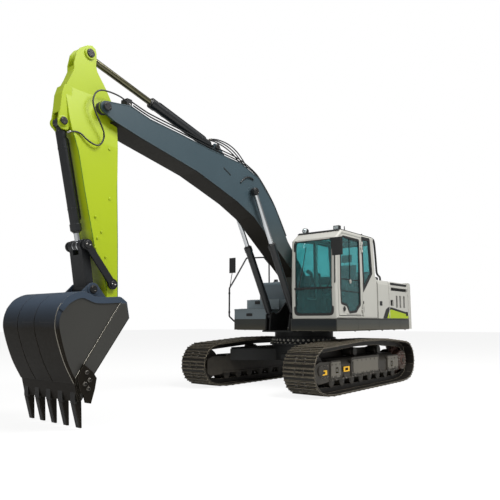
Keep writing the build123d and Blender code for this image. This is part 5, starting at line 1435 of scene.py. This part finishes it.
# a film of oil and dust turns this rod's mirror dull and olive
oiled_chrome = bare_steel("oil_filmed_chrome", "#67644F", "#5B5947", "#B9B6A4", 0.22, 0.3, 1.0)
dress(oiled_chrome, "arm_cylinder_rod")
BOOM_FOOT, BOOM_EYE, PAIR = (0.78, 1.35), (2.03, 3.58), (0.285, -0.285)
ARM_FOOT, ARM_EYE = (2.86, 4.23), (5.44, 4.875)
BUCKET_FOOT, BUCKET_EYE = (5.8, 3.8), (5.43, 2.23)
EYE_R, EYE_WIDTH = 0.0735, 0.085
for name, body, (x, z), sides in (("boom_rod_eyes", "boom_cylinder_rods", BOOM_EYE, PAIR),
                                  ("bucket_rod_eye", "bucket_cylinder_rod", BUCKET_EYE, (0.0,))):
    eyes = bmesh.new()
    for y in sides:
        lathed(eyes, (x, y - EYE_WIDTH / 2, z), (0, 1, 0),
               [(0, 0.05), (0.0005, EYE_R - 0.004), (0.006, EYE_R), (EYE_WIDTH - 0.006, EYE_R),
                (EYE_WIDTH - 0.0005, EYE_R - 0.004), (EYE_WIDTH, 0.05)])
    settle(name, eyes, barrel_enamel, body, 0.0, True)
# node, foot, rod's eye, places across, barrel's radius, gland from the foot, rod's radius, body
CYLINDERS = (("boom_cylinder_barrel", BOOM_FOOT, BOOM_EYE, PAIR, 0.068, 1.51, 0.042, "boom_cylinder_barrels"),
             ("arm_cylinder_barrel", ARM_FOOT, ARM_EYE, (0.0,), 0.075, 1.46, 0.048, "arm_cylinder_barrel"),
             ("bucket_cylinder_barrel", BUCKET_FOOT, BUCKET_EYE, (0.0,), 0.066, 1.415, 0.04,
              "bucket_cylinder_barrel"))
for node, foot, rod, sides, bore, gland, rod_r, body in CYLINDERS:
    n = math.dist(foot, rod)
    ux, uz = (rod[0] - foot[0]) / n, (rod[1] - foot[1]) / n
    way, across, up = Vector((ux, 0, uz)), Vector((0, 1, 0)), Vector((-uz, 0, ux))
    spots, extras = [], bmesh.new()
    for i, y in enumerate(sides):
        end = Vector((foot[0] + ux * gland, y, foot[1] + uz * gland))
        lathed(extras, end - way * 0.004, way, [(0, bore * 0.98), (0.012, bore * 0.98), (0.02, rod_r + 0.01),
                                                (0.034, rod_r + 0.006), (0.036, rod_r + 0.0008)])
        spots += [(end + way * 0.008 + (across * math.cos(a) + up * math.sin(a)) * (bore - 0.012), tuple(way))
                  for a in [2 * math.pi * k / 10 for k in range(10)]]
        for d in (0.32, gland - 0.3):
            start = Vector((foot[0] + ux * d, y, foot[1] + uz * d))
            lathed(extras, start, way, [(0, bore + 0.003), (0.03, bore + 0.003)])
        # the supply pipe runs along the upper side, which is the other one where the rod points down
        top = 1 if node != "bucket_cylinder_barrel" else -1
        a, b = (Vector((foot[0] + ux * d, y, foot[1] + uz * d)) + up * top * (bore + 0.004)
                for d in (0.2, gland - 0.14))
        lift = up * top * 0.022
        piped(f"{node}_pipe_{i}", [a, a + lift, a + lift + way * 0.12, b + lift - way * 0.12, b + lift, b],
              0.012, barrel_enamel, body)
    settle(f"{node}_bands", extras, barrel_enamel, body, 0.0, True)
    bolts(f"{node}_gland_bolts", body, spots, 0.014, bolt_steel)
